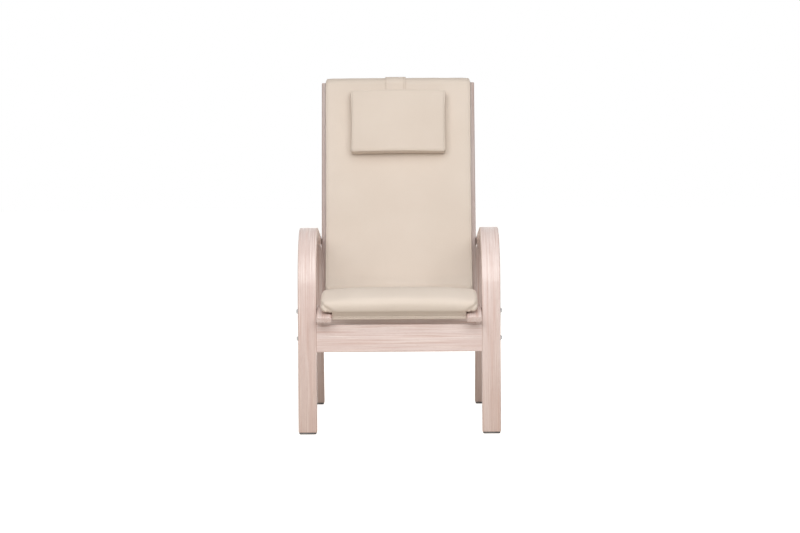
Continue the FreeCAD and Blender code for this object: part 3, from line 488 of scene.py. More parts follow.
def zinc_steel():
    """Zinc-plated steel: dull spangles and turned marks."""
    finish, tree = new_finish("zinc_steel", Metallic=1.0)
    at = object_place(tree)
    mottle = use_group(tree, mottle_group, Place=at, Clouds=160.0)
    marks = noise(tree, times(tree, at, (4000.0, 300.0, 300.0)), detail=2.0)
    tone = blended(tree, band(tree, mottle["Clouds"], 0.3, 0.7), linear(186, 187, 188), linear(160, 161, 164))
    return painted(finish, tone, band(tree, mottle["Speckle"], 0.2, 0.8, 0.3, 0.48), marks, 0.00004)


def moulded_plastic(name, light, dark):
    """Moulded plastic with a fine spark-eroded skin and scuffs."""
    finish, tree = new_finish(name, Specular_IOR_Level=0.4)
    mottle = use_group(tree, mottle_group, Place=object_place(tree), Clouds=45.0)
    speckle = mottle["Speckle"]
    tone = blended(tree, band(tree, mottle["Clouds"], 0.35, 0.7), dark, light)
    return painted(finish, tone, band(tree, speckle, 0.3, 0.7, 0.42, 0.62), speckle, 0.00008)


FRAME_LAYERS, RAIL_LAYERS = 14, 8
# The side frames' tone darkens the wood towards the feet: painted shade of the light falling off near the floor.
bent_wood = limed_wood("limed_bent_wood", 2 * ARM_DEPTH / FRAME_LAYERS, painted_shade_tone=(0.86, 0.82, 0.78, 1.0))
# The rails' tone darkens the wood up the back: painted shade of the recess beside the back cushion.
rail_wood = limed_wood("limed_rail_wood", 2 * RAIL_DEPTH / RAIL_LAYERS, painted_shade_tone=(0.72, 0.70, 0.69, 1.0))
board_wood = limed_wood("limed_board_wood", 0.01, place=along_x, layers_shown=0.0)
# The pillow's cream is the cover's cream made a little darker, as painted shade.
CREAM, CREAM_SHADED_FOR_PILLOW, CREAM_DEEP = linear(229, 217, 206), linear(225, 213, 202), linear(205, 189, 174)
COVER_THREADS, COVER_RELIEF = 780.0, 0.00035
cover = cover_cloth("cream_cover_cloth", CREAM, COVER_THREADS, COVER_RELIEF)
shaded_pillow_cloth = cover_cloth("cream_cover_cloth_shaded_copy", CREAM_SHADED_FOR_PILLOW, COVER_THREADS, COVER_RELIEF)
strap_cloth = cover_cloth("cream_strap_cloth", CREAM, 980.0, 0.0003)
thread = sewing_thread()
webbing = elastic_band()
steel = zinc_steel()
glide_plastic = moulded_plastic("grey_glide_plastic", linear(120, 118, 116), linear(92, 90, 90))
spacer_plastic = moulded_plastic("brown_spacer_plastic", linear(126, 98, 88), linear(100, 76, 67))


def dress(finish, *names):
    """Gives CAD nodes that are shown as they are their finish."""
    for name in names:
        nodes[name].data.materials.clear()
        nodes[name].data.materials.append(finish)


dress(board_wood, "front_apron", "rear_stretcher", "front_crossbar", "lumbar_crossbar", "top_crossbar",
      "crossbar_dowels")
dress(steel, "rail_bolts", "frame_bolts", "rail_inserts", "barrel_nuts", "webbing_staples")
dress(spacer_plastic, "rail_spacers")


# ------------------------------------------------------------------ bent wood
def bar_walk(arc_points=7, flat_points=3):
    """Walk once round a bar with rounded edges: the corner that each point belongs to, as signs that slide from
    one corner to the next along a flat, and the angle of its rounding. Also how near it is to an edge."""
    corners = np.array([[1, 1], [-1, 1], [-1, -1], [1, -1]], float)
    arc = np.linspace(0.0, 1.0, arc_points)
    slide = np.linspace(0.0, 1.0, flat_points + 2)[1:-1]
    signs, turns = [], []
    for index, corner in enumerate(corners):
        following = corners[(index + 1) % 4]
        signs += [np.repeat(corner[None], arc_points, axis=0), corner + slide[:, None] * (following - corner)]
        turns += [(index + arc) * math.pi / 2, np.full(flat_points, (index + 1) * math.pi / 2)]
    turns = np.concatenate(turns)
    return np.concatenate(signs), turns, np.abs(np.sin(2 * turns))


RING_STEP, END_EASE, LEVEL_RUN, LEAST_ROUND = 0.008, 0.002, 0.06, 0.0002


def strip_rings(line, half_width, half_depth, radius, level):
    """Rounded bar carried along the whole of a centre line.

    Ring at distance s: (across, depth) = corner signs times the half sizes, plus the radius times (cos, sin).
    Near an end the outline draws in along a quarter circle, then shrinks to its middle as the end face.
    level cuts both ends level with the floor, by sliding each point along the line by its depth times the
    cotangent of the heading.
    """
    begin, end = 0.0, line["length"]
    signs, turns, edge = bar_walk()
    quarter = np.linspace(0.0, math.pi / 2, 5)
    inner = np.linspace(begin + END_EASE, end - END_EASE, max(3, int((end - begin) / RING_STEP)))[1:-1]
    near = END_EASE * (1 - np.sin(quarter))[::-1]
    along = np.concatenate([[begin] * 2, begin + END_EASE * (1 - np.cos(quarter)), inner,
                            end - END_EASE * (1 - np.cos(quarter))[::-1], [end] * 2])
    inset = np.concatenate([[END_EASE] * 2, near[::-1], 0 * inner, near, [END_EASE] * 2])
    scale = np.concatenate([[0.3, 0.7], np.ones(len(along) - 4), [0.7, 0.3]])
    half = np.stack([half_width + 0 * along, half_depth + 0 * along], axis=1) - inset[:, None]
    turn_radius = np.maximum(np.minimum(radius, half.min(axis=1)) - inset, LEAST_ROUND)[:, None]
    across = (signs[:, 0] * (half[:, :1] - turn_radius) + turn_radius * np.cos(turns)) * scale[:, None]
    lift = (signs[:, 1] * (half[:, 1:] - turn_radius) + turn_radius * np.sin(turns)) * scale[:, None]
    station = along[:, None] + 0 * lift
    if level:
        ends = [np.interp(place, line["along"], line["angle"]) for place in (begin, end)]
        near_end = [fading(np.abs(along - place), 0, LEVEL_RUN)[:, None] for place in (begin, end)]
        station = station - lift * sum(weight / math.tan(angle) for weight, angle in zip(near_end, ends))
    return station, across, lift, np.broadcast_to(edge, lift.shape)


def painted_shade_near_feet(along):
    """How much painted shade a side frame takes: 1 at both feet, easing off to 0 at 0.4 m up the legs, for the light
    falling off towards the floor.
    """
    return fading(np.minimum(along, frame_line["length"] - along), 0, 0.4)


def painted_shade_up_the_back(along):
    """How much painted shade a rail takes: 0 along the seat, easing to 1 over 0.15 m up the back, where the rails lie
    in the back cushion's shade.
    """
    return np.clip((along - SEAT_END) / 0.15, 0, 1)


def wood_strip(name, node, line, half_width, half_depth, radius, offset, finish, level, seed, painted_shade_at):
    """One bent wood strip of the chair; its grain place is (across, depth, along) on the strip, moved on by the seed
    so that each strip has a grain of its own."""
    station, across, lift, edge = strip_rings(line, half_width, half_depth, radius, level)
    # Each point also carries its grain place, its nearness to an edge and its share of painted shade.
    rings = np.concatenate([
        on_line(line, station, across + offset, lift),
        np.stack([across + 0.17 * seed, lift, station + 1.3 * seed, edge, painted_shade_at(station)], axis=-1),
    ], axis=-1)
    points, faces = skin(rings)
    mesh = new_mesh(name, points, faces)
    for key, values in (("grain", points[:, 3:6]), ("edge", points[:, 6]), ("painted_shade_share", points[:, 7])):
        mark(mesh, key, values)
    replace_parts(new_piece(mesh, finish, "chair"), node)


FRAME_ROUND, RAIL_ROUND = 0.0035, 0.004
for side, sign, seed in (("left", -1, 1), ("right", 1, 8)):
    wood_strip(f"{side}_arm_and_legs", f"side_frame_{side}", frame_line, ARM_HALF, ARM_DEPTH, FRAME_ROUND,
               sign * FRAME_X, bent_wood, True, seed, painted_shade_near_feet)
    wood_strip(f"{side}_seat_and_back_rail", f"rail_{side}", rail_line, RAIL_HALF, RAIL_DEPTH, RAIL_ROUND,
               sign * RAIL_X, rail_wood, False, seed + 2, painted_shade_up_the_back)


GLIDE_GAP, GLIDE_ROUND = 0.002, 0.006


def glide_rings(middle_x, middle_y, half_x, half_y):
    """Foot glide: rounded rectangle carried up from the floor, drawn in along a quarter circle at its lower rim."""
    signs, turns, _ = bar_walk(5, 2)
    # Rise from the floor, inset of the outline, and the share of the outline that is left on an end face.
    rise, inset, scale = np.array([
        (0.0, 0.0026, 0.3), (0.0, 0.0026, 0.7), (0.0, 0.0026, 1), (0.0005, 0.0012, 1), (0.0014, 0.0004, 1),
        (0.003, 0.0, 1), (0.0061, 0.0, 1), (0.0061, 0.0, 0.7), (0.0061, 0.0, 0.3),
    ]).T[:, :, None]
    radius = GLIDE_ROUND - inset
    x = (signs[:, 0] * (half_x - inset - radius) + radius * np.cos(turns)) * scale + middle_x
    y = (signs[:, 1] * (half_y - inset - radius) + radius * np.sin(turns)) * scale + middle_y
    return np.stack([x, y, rise + 0 * x], axis=-1)


glide_low, glide_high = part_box("foot_glides")
glide_parts = []
for sign in (-1, 1):
    for edge_y, lean, inward in ((glide_low.y, FRONT_LEAN, 1), (glide_high.y, REAR_LEAN, -1)):
        half_y = ARM_DEPTH / cosine(lean) - GLIDE_GAP
        glide_parts.append(skin(glide_rings(sign * FRAME_X, edge_y + inward * half_y, ARM_HALF - GLIDE_GAP, half_y)))
glides = new_piece(new_mesh("floor_glides", *joined(glide_parts)), glide_plastic, "chair")
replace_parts(glides, "foot_glides")


# ------------------------------------------------------------------ webbing
BAND_REACH, BAND_WIDTH, BAND_LIFT, BAND_DIP = 0.236, 0.05, 0.010, 0.0022
BAND_STATIONS = 90


def webbing_rings(along):
    """Elastic band across the rails: a flat rounded bar carried along x, which dips a little between the rails."""
    signs, turns, _ = bar_walk(4, 5)
    x = np.concatenate([[-BAND_REACH] * 3, np.linspace(-0.2355, 0.2355, BAND_STATIONS), [BAND_REACH] * 3])[:, None]
    scale = np.concatenate([[0.3, 0.7, 0.98], np.ones(BAND_STATIONS), [0.98, 0.7, 0.3]])[:, None]
    v = (signs[:, 0] * 0.0242 + 0.0008 * np.cos(turns)) * scale
    n = (signs[:, 1] * 0.0002 + 0.0008 * np.sin(turns)) * scale
    dip = BAND_DIP * np.clip(1 - (x / 0.2) ** 2, 0, 1)
    points = on_line(rail_line, along + v, x + 0 * v, BAND_LIFT + n - dip)
    return np.concatenate([points, np.stack([v, x + 0 * v, n], axis=-1)], axis=-1)


for node, begin, end, count in (("seat_webbing", SEAT_BEGIN, SEAT_END, 4),
                                ("back_webbing", BACK_BEGIN, RAIL_TOP - 0.059, 6)):
    places = begin + (end - begin) * (np.arange(count) + 0.5) / count
    mesh = cloth_mesh(f"{node}_bands", [skin(webbing_rings(along)) for along in places])
    bands = new_piece(mesh, webbing, "chair")
    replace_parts(bands, node)


# ------------------------------------------------------------------ padded covers
def eased(distance, radius, power=2.0):
    """How far a padded end has drawn in, from 1 at the end to 0 at a radius from it: a quarter of a superellipse."""
    near = fading(distance, 0, radius)
    return 1 - (1 - near ** power) ** (1 / power)


# Points on a flat face and on a side of a pad's outline, and the places where the sides begin, are halfway and end.
FACE_POINTS, SIDE_POINTS = 61, 23
RIGHT_LOW, LEFT_TOP = FACE_POINTS, 2 * FACE_POINTS + SIDE_POINTS
RIGHT_MIDDLE, LEFT_MIDDLE = (begin + SIDE_POINTS // 2 for begin in (RIGHT_LOW, LEFT_TOP))
RIGHT_TOP, LEFT_LOW = (begin + SIDE_POINTS - 1 for begin in (RIGHT_LOW, LEFT_TOP))


def pad_ring(half, low, high, crown, top_in, low_in, power=2.3):
    """Outline of a pad across the chair, one row per station.

    The underside is flat. Each side swells out by a superellipse from the lower edge to the upper edge. The top is
    crowned: the crown times one minus the square of the place across.
    """
    half, low, high, crown, top_in, low_in = (
        np.asarray(value, float)[:, None] for value in np.broadcast_arrays(half, low, high, crown, top_in, low_in)
    )
    rise = np.linspace(-1.0, 1.0, SIDE_POINTS + 2)[None, 1:-1]
    middle, reach = (low + high) / 2, (high - low) / 2
    draw = np.where(rise > 0, top_in, low_in) * (1 - (1 - np.abs(rise) ** power) ** (1 / power))
    share = np.linspace(-1.0, 1.0, FACE_POINTS)[None]
    right = half - draw
    side_lift = middle + reach * rise
    upper = (half - top_in) * -share
    lower = (half - low_in) * share
    across = np.concatenate([lower, right, upper, -right[:, ::-1]], axis=1)
    lift = np.concatenate([low + 0 * lower, side_lift, high + crown * (1 - share ** 2), side_lift[:, ::-1]], axis=1)
    return across, lift


def closed_ends(rings, inner=(0.85, 0.6, 0.3)):
    """Adds end faces to a stack of rings by shrinking the first and the last ring towards their middles."""
    first, last = rings[:1], rings[-1:]
    scale = np.array(inner)[:, None, None]
    low = first.mean(axis=1, keepdims=True) * (1 - scale) + first * scale
    high = last.mean(axis=1, keepdims=True) * (1 - scale) + last * scale
    return np.concatenate([low[::-1], rings, high])


def voxel_skin(name, points, faces, voxel, smoothing):
    """Even skin of small quads round a closed shape, smoothed a few times."""
    rough = bpy.data.objects.new(name + "_rough", new_mesh(name + "_rough", points, faces))
    scene.collection.objects.link(rough)
    remesh = rough.modifiers.new("voxels", "REMESH")
    remesh.mode = "VOXEL"
    remesh.voxel_size = voxel
    smooth = rough.modifiers.new("smooth", "SMOOTH")
    smooth.factor = 0.5
    smooth.iterations = smoothing
    bpy.context.view_layer.update()
    graph = bpy.context.evaluated_depsgraph_get()
    mesh = bpy.data.meshes.new_from_object(rough.evaluated_get(graph))
    bpy.data.objects.remove(rough)
    mesh.name = name
    mesh.shade_smooth()
    return mesh


def evened(mesh, values, rounds):
    """Values per point, each averaged a number of times with the mean of the points it shares an edge with."""
    ends = np.zeros(len(mesh.edges) * 2, np.int32)
    mesh.edges.foreach_get("vertices", ends)
    first, second = ends.reshape(-1, 2).T
    count = len(values)
    near = np.bincount(first, minlength=count) + np.bincount(second, minlength=count)
    for _ in range(rounds):
        total = np.bincount(first, values[second], count) + np.bincount(second, values[first], count)
        values = (values + total / np.maximum(near, 1)) / 2
    return values


FILLED_SHARE, SLIP_SHARE, EVEN_ROUNDS, SWELL_FRAMES = 0.7, 0.1, 24, 20
COVER_CLOTH = {
    "quality": 4, "mass": 0.3, "tension_stiffness": 12, "compression_stiffness": 12, "bending_stiffness": 0.4,
    "use_pressure": True, "uniform_pressure_force": 4.0, "vertex_group_mass": "held",
}


def swollen(mesh, grip, cap):
    """Points of a padded skin after cloth under pressure: grip 1 holds a point, 0 leaves it free. The filling keeps
    each point out by a share of the cap at least; it moves out by the cap at most, and by less where the grip is
    between."""
    start, outward = point_array(mesh), normal_array(mesh)
    limit = cap * (1 - grip)
    piece = bpy.data.objects.new("swelling", mesh)
    scene.collection.objects.link(piece)
    held = piece.vertex_groups.new(name="held")
    held.add(np.flatnonzero(grip > 0.9).tolist(), 1.0, "REPLACE")
    cloth = piece.modifiers.new("swell", "CLOTH")
    for key, value in COVER_CLOTH.items():
        setattr(cloth.settings, key, value)
    cloth.settings.effector_weights.gravity = 0.0
    cloth.point_cache.frame_start = 1
    cloth.point_cache.frame_end = SWELL_FRAMES
    for number in range(1, SWELL_FRAMES + 1):
        scene.frame_set(number)
    graph = bpy.context.evaluated_depsgraph_get()
    moved = point_array(piece.evaluated_get(graph).data) - start
    bpy.data.objects.remove(piece)
    scene.frame_set(1)
    out = (moved * outward).sum(axis=1)
    aside = moved - outward * out[:, None]
    slip = np.minimum(1.0, SLIP_SHARE * limit / np.maximum(np.linalg.norm(aside, axis=1), 1e-9))
    share = np.clip(out / np.maximum(limit, 1e-9), FILLED_SHARE, 1.0)
    return start + outward * (limit * evened(mesh, share, EVEN_ROUNDS))[:, None] + aside * slip[:, None]


def ripple(u, v, seed, shortest, longest, count=12):
    """Gentle uneven waves: a sum of sines of seeded directions and lengths, of about unit height."""
    chance = np.random.default_rng(seed)
    length = np.exp(chance.uniform(math.log(shortest), math.log(longest), count))
    angle, phase = chance.uniform(0, 2 * math.pi, (2, count))
    waves = np.sin(
        2 * math.pi * (np.outer(u, np.cos(angle) / length) + np.outer(v, np.sin(angle) / length)) + phase
    )
    return waves @ np.full(count, 1 / math.sqrt(count))


def rim(along, values, chosen, step=0.01):
    """Greatest value of the chosen points round each place along an edge: the greatest in each slot of one step,
    joined by straight lines."""
    slot = np.round(along[chosen] / step).astype(int)
    most = np.full(slot.max() - slot.min() + 1, -np.inf)
    np.maximum.at(most, slot - slot.min(), values[chosen])
    place = (np.arange(len(most)) + slot.min()) * step
    kept = np.isfinite(most)
    return np.interp(along, place[kept], most[kept])


def squared(across, rise, along, radius, power=5.0):
    """Moves that make a pad's rounded front edges squarer, across and up.

    With a and b the two distances from the centre of the rounding, in radii, a point moves out along (a, b) from the
    circle to the superellipse of the same radius: by the factor sqrt(a^2 + b^2) / (a^p + b^p)^(1/p).
    """
    out = np.abs(across)
    side = rim(along, out, out > 0)
    top = rim(along, rise, (out > side - 0.03) & (out < side - 0.008))
    a = np.clip(1 + (out - side) / radius, 0, None)
    b = np.clip(1 + (rise - top) / radius, 0, None)
    grow = np.hypot(a, b) / np.maximum(a ** power + b ** power, 1e-9) ** (1 / power) - 1
    grow = np.where((a > 0) & (b > 0), grow, 0.0) * radius
    return np.sign(across) * grow * a, grow * b


def finish_pad(mesh, points, cloth, finish, fill, body, *replaced):
    """Puts the swollen points into the mesh, with the place on the cloth, and makes it a piece smoothed by one
    subdivision in place of the given parts.
    """
    mesh.vertices.foreach_set("co", points.astype(np.float32).ravel())
    mesh.update()
    mark(mesh, "cloth", cloth)
    piece = new_piece(mesh, finish, body)
    smooth = piece.modifiers.new("smooth", "SUBSURF")
    smooth.levels = smooth.render_levels = 1
    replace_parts(piece, *replaced)
    return piece


def cloth_place(x, along, edge, drop, over, brink):
    """Place on the cloth, (across, along, 0): past an edge it runs on down the side by the drop from the top, and
    over an end it takes the place given for the brink."""
    u = np.where(np.abs(x) < edge, x, np.sign(x) * (edge + drop))
    return np.stack([u, np.where(over, brink, along), 0 * u], axis=1)


CREASE_WIDTH = 0.0034


def creased(u, v, begin, end):
    """How deep a crease is at each place, from 0 to 1: a bell of the distance to the line between its two ends."""
    begin, end = np.array(begin), np.array(end)
    run = end - begin
    share = np.clip(((u - begin[0]) * run[0] + (v - begin[1]) * run[1]) / (run @ run), 0, 1)
    gap = np.hypot(u - begin[0] - share * run[0], v - begin[1] - share * run[1])
    return np.exp(-(gap / CREASE_WIDTH) ** 2) * (0.35 + 0.65 * np.sin(math.pi * (0.15 + 0.7 * share)))


def settled(pad, path):
    """Path laid on a padded skin, with the skin's normals: each point goes to the plane through the six skin points
    nearest to it, weighted by nearness; then places and normals are averaged with their neighbours."""
    bpy.context.view_layer.update()
    mesh = pad.evaluated_get(bpy.context.evaluated_depsgraph_get()).data
    skin_points, skin_normals = point_array(mesh), normal_array(mesh)
    places, normals = [], []
    for part in np.array_split(path, max(1, len(path) // 8)):
        gap = ((part[:, None] - skin_points[None]) ** 2).sum(axis=2)
        nearest = np.argpartition(gap, 6, axis=1)[:, :6]
        weight = 1 / (np.take_along_axis(gap, nearest, axis=1) + 1e-6)
        weight = (weight / weight.sum(axis=1, keepdims=True))[..., None]
        normal = unit((skin_normals[nearest] * weight).sum(axis=1))
        middle = (skin_points[nearest] * weight).sum(axis=1)
        places.append(part - ((part - middle) * normal).sum(axis=1, keepdims=True) * normal)
        normals.append(normal)
    laid = np.concatenate([np.concatenate(places), np.concatenate(normals)], axis=1)
    for _ in range(3):
        laid[1:-1] = (laid[:-2] + 2 * laid[1:-1] + laid[2:]) / 4
    return laid[:, :3], unit(laid[:, 3:])


def welts(name, pad, paths, radius, finish, body):
    """Sewn welts on a padded skin: a small round carried along each path, its middle a quarter of the radius below
    the skin; it thins out at both ends."""
    parts = []
    turn = np.arange(8)[:, None] * math.pi / 4
    for path in paths:
        place, normal = settled(pad, path)
        ahead = unit(np.gradient(place, axis=0))
        aside = unit(np.cross(ahead, normal))
        count = np.arange(len(place))
        thin = (radius * np.clip(np.minimum(count, count[::-1]) / 3 + 0.3, 0, 1))[:, None, None]
        rings = place[:, None] + thin * (np.cos(turn) * aside[:, None] + (np.sin(turn) - 0.25) * normal[:, None])
        walked = np.concatenate([[0.0], np.cumsum(np.linalg.norm(np.diff(place, axis=0), axis=1))])
        cloth = np.stack(np.broadcast_arrays(turn.T * radius, walked[:, None], 0.0), axis=-1)
        parts.append(skin(np.concatenate([rings, cloth], axis=-1)))
    new_piece(cloth_mesh(name, parts), finish, body)


def top_edges(rings):
    """Paths along the right and the left top edge of a pad, from a little past its first end."""
    return [rings[6:, RIGHT_TOP], rings[6:, LEFT_TOP]]


PAD_BASE, PAD_GAP, FOLD_RUN, SWELL = 0.0121, 0.0008, 0.016, 0.004
SEAT_TOP, BACK_TOP, FOLD_TOP = PAD_BASE + 0.046, PAD_BASE + 0.042, PAD_BASE + 0.044
SEAT_HALF, BACK_HALF, WAIST = 0.241, 0.2385, 0.005
SEAT_EDGE, BACK_EDGE, SEAT_BRINK, BACK_BRINK = 0.232, 0.231, 0.022, RAIL_TOP - 0.006
# Foot and head, each as (across, height), and depth of the creases at the seat's front corners.
SEAT_CREASES = (
    ((-0.217, 0.026), (-0.2345, 0.050), 0.0070), ((-0.203, 0.025), (-0.223, 0.041), 0.0042),
    ((0.219, 0.025), (0.2340, 0.048), 0.0065), ((0.204, 0.024), (0.222, 0.038), 0.0045),
)


def seat_pad():
    """Seat cushion: the outline across, carried along the rails from the rounded nose to the crease. Where the cover
    is gathered round the nose's lower corners, slanting creases run down them."""
    begin, end = 0.007 + SWELL * 0.8, CREASE - PAD_GAP
    run = 0.026
    along = np.concatenate([begin + run * (1 - np.cos(np.linspace(0, math.pi / 2, 12))),
                            np.linspace(begin + run + 0.005, end - 0.02, 60),
                            end - FOLD_RUN * (1 - np.cos(np.linspace(math.pi / 2, 0, 8)))])
    nose = eased(along - begin, run, 2.1)
    fold = eased(end - along, FOLD_RUN)
    rear = np.clip((along - SEAT_END) / (CREASE - SEAT_END), 0, 1)
    drawn = WAIST * np.interp(along, [0.0, TIP_RUN, SEAT_BEGIN, SEAT_BEGIN + 0.135, SEAT_END], [0, 0.2, 0.6, 1, 1.2])
    half = SEAT_HALF - drawn - 0.010 * nose - 0.003 * fold - SWELL * 0.6
    low = PAD_BASE + 0.016 * nose
    high = SEAT_TOP + (FOLD_TOP - SEAT_TOP) * rear - 0.016 * nose - 0.010 * fold - SWELL
    crown = 0.0075 * (1 - 0.6 * rear) * (1 - 0.5 * nose)
    across, lift = pad_ring(half, low, high, crown, 0.010, 0.019, 2.1)
    rings = on_line(rail_line, along[:, None], across, lift)
    mesh = voxel_skin("seat_cushion", *skin(closed_ends(rings)), 0.0046, 5)
    start = point_array(mesh)
    x = start[:, 0]
    station, rise = off_line(rail_line, start)
    grip = np.maximum(fading(rise - PAD_BASE, 0.002, 0.012), fading(CREASE - 0.004 - station, 0, 0.02))
    points = swollen(mesh, grip, SWELL)
    outward = unit(points - start)
    dent = -ripple(x, station, 4, 0.05, 0.22) * 0.0004 * (1 - grip)
    # Height on a slope that the nose's lower corners follow.
    height = 0.425 * station + 0.905 * rise
    for foot, head, depth in SEAT_CREASES:
        dent += depth * fading(station, 0.045, 0.02) * creased(x, height, foot, head)
    points -= outward * dent[:, None]
    drop = SEAT_TOP - rise
    cloth = cloth_place(x, station, SEAT_EDGE, drop, station <= SEAT_BRINK, SEAT_BRINK - drop)
    piece = finish_pad(mesh, points, cloth, cover, 0.8, "chair", "seat_cover", "seat_foam")
    welts("seat_side_seams", piece, top_edges(rings), 0.0009, cover, "chair")
    return piece


def back_pad():
    """Back cushion: the outline across, carried up the rails from the crease to the roll over their tops."""
    begin, end = CREASE + PAD_GAP, RAIL_TOP + 0.009 - SWELL * 0.4
    roll = 0.028
    along = np.concatenate([begin + FOLD_RUN * (1 - np.cos(np.linspace(0, math.pi / 2, 8))),
                            np.linspace(begin + 0.02, end - 0.032, 80),
                            end - roll * (1 - np.cos(np.linspace(math.pi / 2, 0, 14)))])
    nose = eased(end - along, roll, 2.0)
    fold = eased(along - begin, FOLD_RUN)
    lower = np.clip((along - CREASE) / (BACK_BEGIN - CREASE), 0, 1)
    drawn = WAIST * np.interp(along, [CREASE, BACK_BEGIN, BACK_BEGIN + 0.292, RAIL_TOP - 0.02], [0, 0.2, 0.6, 0])
    half = BACK_HALF - 0.5 * drawn - 0.002 * nose - 0.006 * eased(end - along, 0.010) - 0.003 * fold - SWELL * 0.5
    low = PAD_BASE + 0.002 * nose
    high = FOLD_TOP + (BACK_TOP - FOLD_TOP) * lower - roll * nose - 0.010 * fold - SWELL
    crown = (0.003 + 0.005 * lower) * (1 - 0.6 * nose)
    across, lift = pad_ring(half, low, high, crown, 0.004, 0.012, 2.6)
    rings = on_line(rail_line, along[:, None], across, lift)
    mesh = voxel_skin("back_cushion", *skin(closed_ends(rings)), 0.0055, 3)
    start = point_array(mesh)
    x = start[:, 0]
    station, rise = off_line(rail_line, start)
    grip = np.maximum(fading(rise - PAD_BASE, 0.002, 0.012), fading(station - CREASE, 0.004, 0.02))
    points = swollen(mesh, grip, SWELL)
    waves = ripple(x, station, 9, 0.06, 0.3) * 0.0004 * (1 - grip)
    points += unit(points - start) * waves[:, None]
    along, lift = off_line(rail_line, points)
    out, up = squared(points[:, 0], lift, along, 0.008)
    points = on_line(rail_line, along, points[:, 0] + out, lift + up)
    drop = BACK_TOP - rise
    cloth = cloth_place(x, station, BACK_EDGE, drop, station >= BACK_BRINK, BACK_BRINK + drop)
    piece = finish_pad(mesh, points, cloth, cover, 0.7, "chair", "back_cover", "back_foam")
    welts("back_side_seams", piece, top_edges(rings), 0.0026, cover, "chair")
    return piece


REST_BASE, REST_THICK = 0.0643, 0.046
REST_LENGTH, REST_HALF, REST_DROP = 0.208, 0.1575, 0.048
REST_FOOT = RAIL_TOP - REST_DROP - REST_LENGTH
REST_EDGE, REST_ROUND, REST_SQUARE = 0.148, 0.003, 0.006


def panel_loop(rings, right, left, between):
    """Closed path round one panel of a boxed pillow: up its right edge, over the top, down its left edge and back
    along the bottom. It ends a few points past its start."""
    first, last = 3, len(rings) - 4
    loop = np.concatenate([rings[first:last + 1, right], rings[last, between], rings[last:first - 1:-1, left],
                           rings[first, between[::-1]]])
    return np.concatenate([loop, loop[:4]])


def headrest():
    """Boxed headrest pillow: a rounded rectangle carried up the back, square at both ends, its sides drawn in between
    the corners and drooping onto the crowned back, and its lower rear edge bowed up in the middle. Welts run round its
    front and rear panels."""
    quarter = np.linspace(0, math.pi / 2, 7)
    along = np.concatenate([REST_ROUND * (1 - np.cos(quarter)), np.linspace(0.010, REST_LENGTH - 0.010, 40),
                            REST_LENGTH - REST_ROUND * (1 - np.cos(quarter))[::-1]])
    along = SWELL * 0.6 + along * (REST_LENGTH - SWELL * 1.2) / REST_LENGTH
    share = along / REST_LENGTH
    nose = np.maximum(eased(along - along[0], REST_ROUND), eased(along[-1] - along, REST_ROUND))
    drawn = 0.004 * np.sin(math.pi * share) ** 0.8
    half = REST_HALF - drawn - 0.002 * (1 - share) - 0.004 * nose - SWELL * 0.6
    low = REST_BASE + 0.001 * nose
    thick = REST_THICK * np.interp(share, [0, 0.28, 0.72, 1], [0.9, 0.9, 0.86, 0.78])
    high = REST_BASE + thick - 0.003 * nose - SWELL
    across, lift = pad_ring(half, low, high, 0.006 * (1 - 0.3 * nose), 0.003, 0.003, 2.6)
    foot = fading(share[:, None], 0, 0.2) * fading(lift, REST_BASE, 0.03)
    bow = foot * (0.006 * np.cos(np.clip((across - 0.02) / 0.15, -1, 1) * math.pi / 2) - 0.003)
    droop = 0.0052 * np.clip((np.abs(across) - 0.04) / 0.115, 0, 1) ** 1.4
    rings = on_line(rail_line, REST_FOOT + along[:, None] + bow, across, lift - droop)
    mesh = voxel_skin("headrest_pillow", *skin(closed_ends(rings, (0.95, 0.8, 0.5, 0.25))), 0.004, 2)
    start = point_array(mesh)
    station, rise = off_line(rail_line, start)
    share = (station - REST_FOOT) / REST_LENGTH
    grip = fading(rise - REST_BASE, 0.001, 0.010)
    points = swollen(mesh, grip, SWELL)
    waves = ripple(start[:, 0], station, 3, 0.05, 0.2) * 0.0003 * (1 - grip)
    points += unit(points - start) * waves[:, None]
    along, lift = off_line(rail_line, points)
    x = points[:, 0]
    out, up = squared(x, lift, along, REST_SQUARE)
    ahead, more = squared(along - REST_FOOT - REST_LENGTH / 2, lift, x, REST_SQUARE)
    points = on_line(rail_line, along + ahead, x + out, lift + np.maximum(up, more))
    drop = REST_BASE + 0.04 - rise
    cloth = cloth_place(x, station, REST_EDGE, drop, share <= 0.03, REST_FOOT + 0.006 - drop)
    piece = finish_pad(mesh, points, cloth, shaded_pillow_cloth, 0.75, "headrest", "headrest_cover", "headrest_foam")
    loops = [panel_loop(rings, RIGHT_TOP, LEFT_TOP, np.arange(RIGHT_TOP + 3, LEFT_TOP - 2, 2)),
             panel_loop(rings, RIGHT_LOW, LEFT_LOW, np.arange(RIGHT_LOW - 3, 2, -2))]
    welts("headrest_panel_seams", piece, loops, 0.0021, shaded_pillow_cloth, "headrest")


seat_cushion = seat_pad()
back_cushion = back_pad()
headrest()


# ------------------------------------------------------------------ flap, hood, strap and weight
def back_place(along, lift):
    """Side-plane point given from the rails' top: along the back and square to it."""
    return on_line(rail_line, RAIL_TOP + along, 0.0, lift)[1:]


CLOTH_THICK, STITCH_PITCH = 0.0016, 0.0043
HEM_RISE, HEM_EDGE = 0.0013, 0.0007


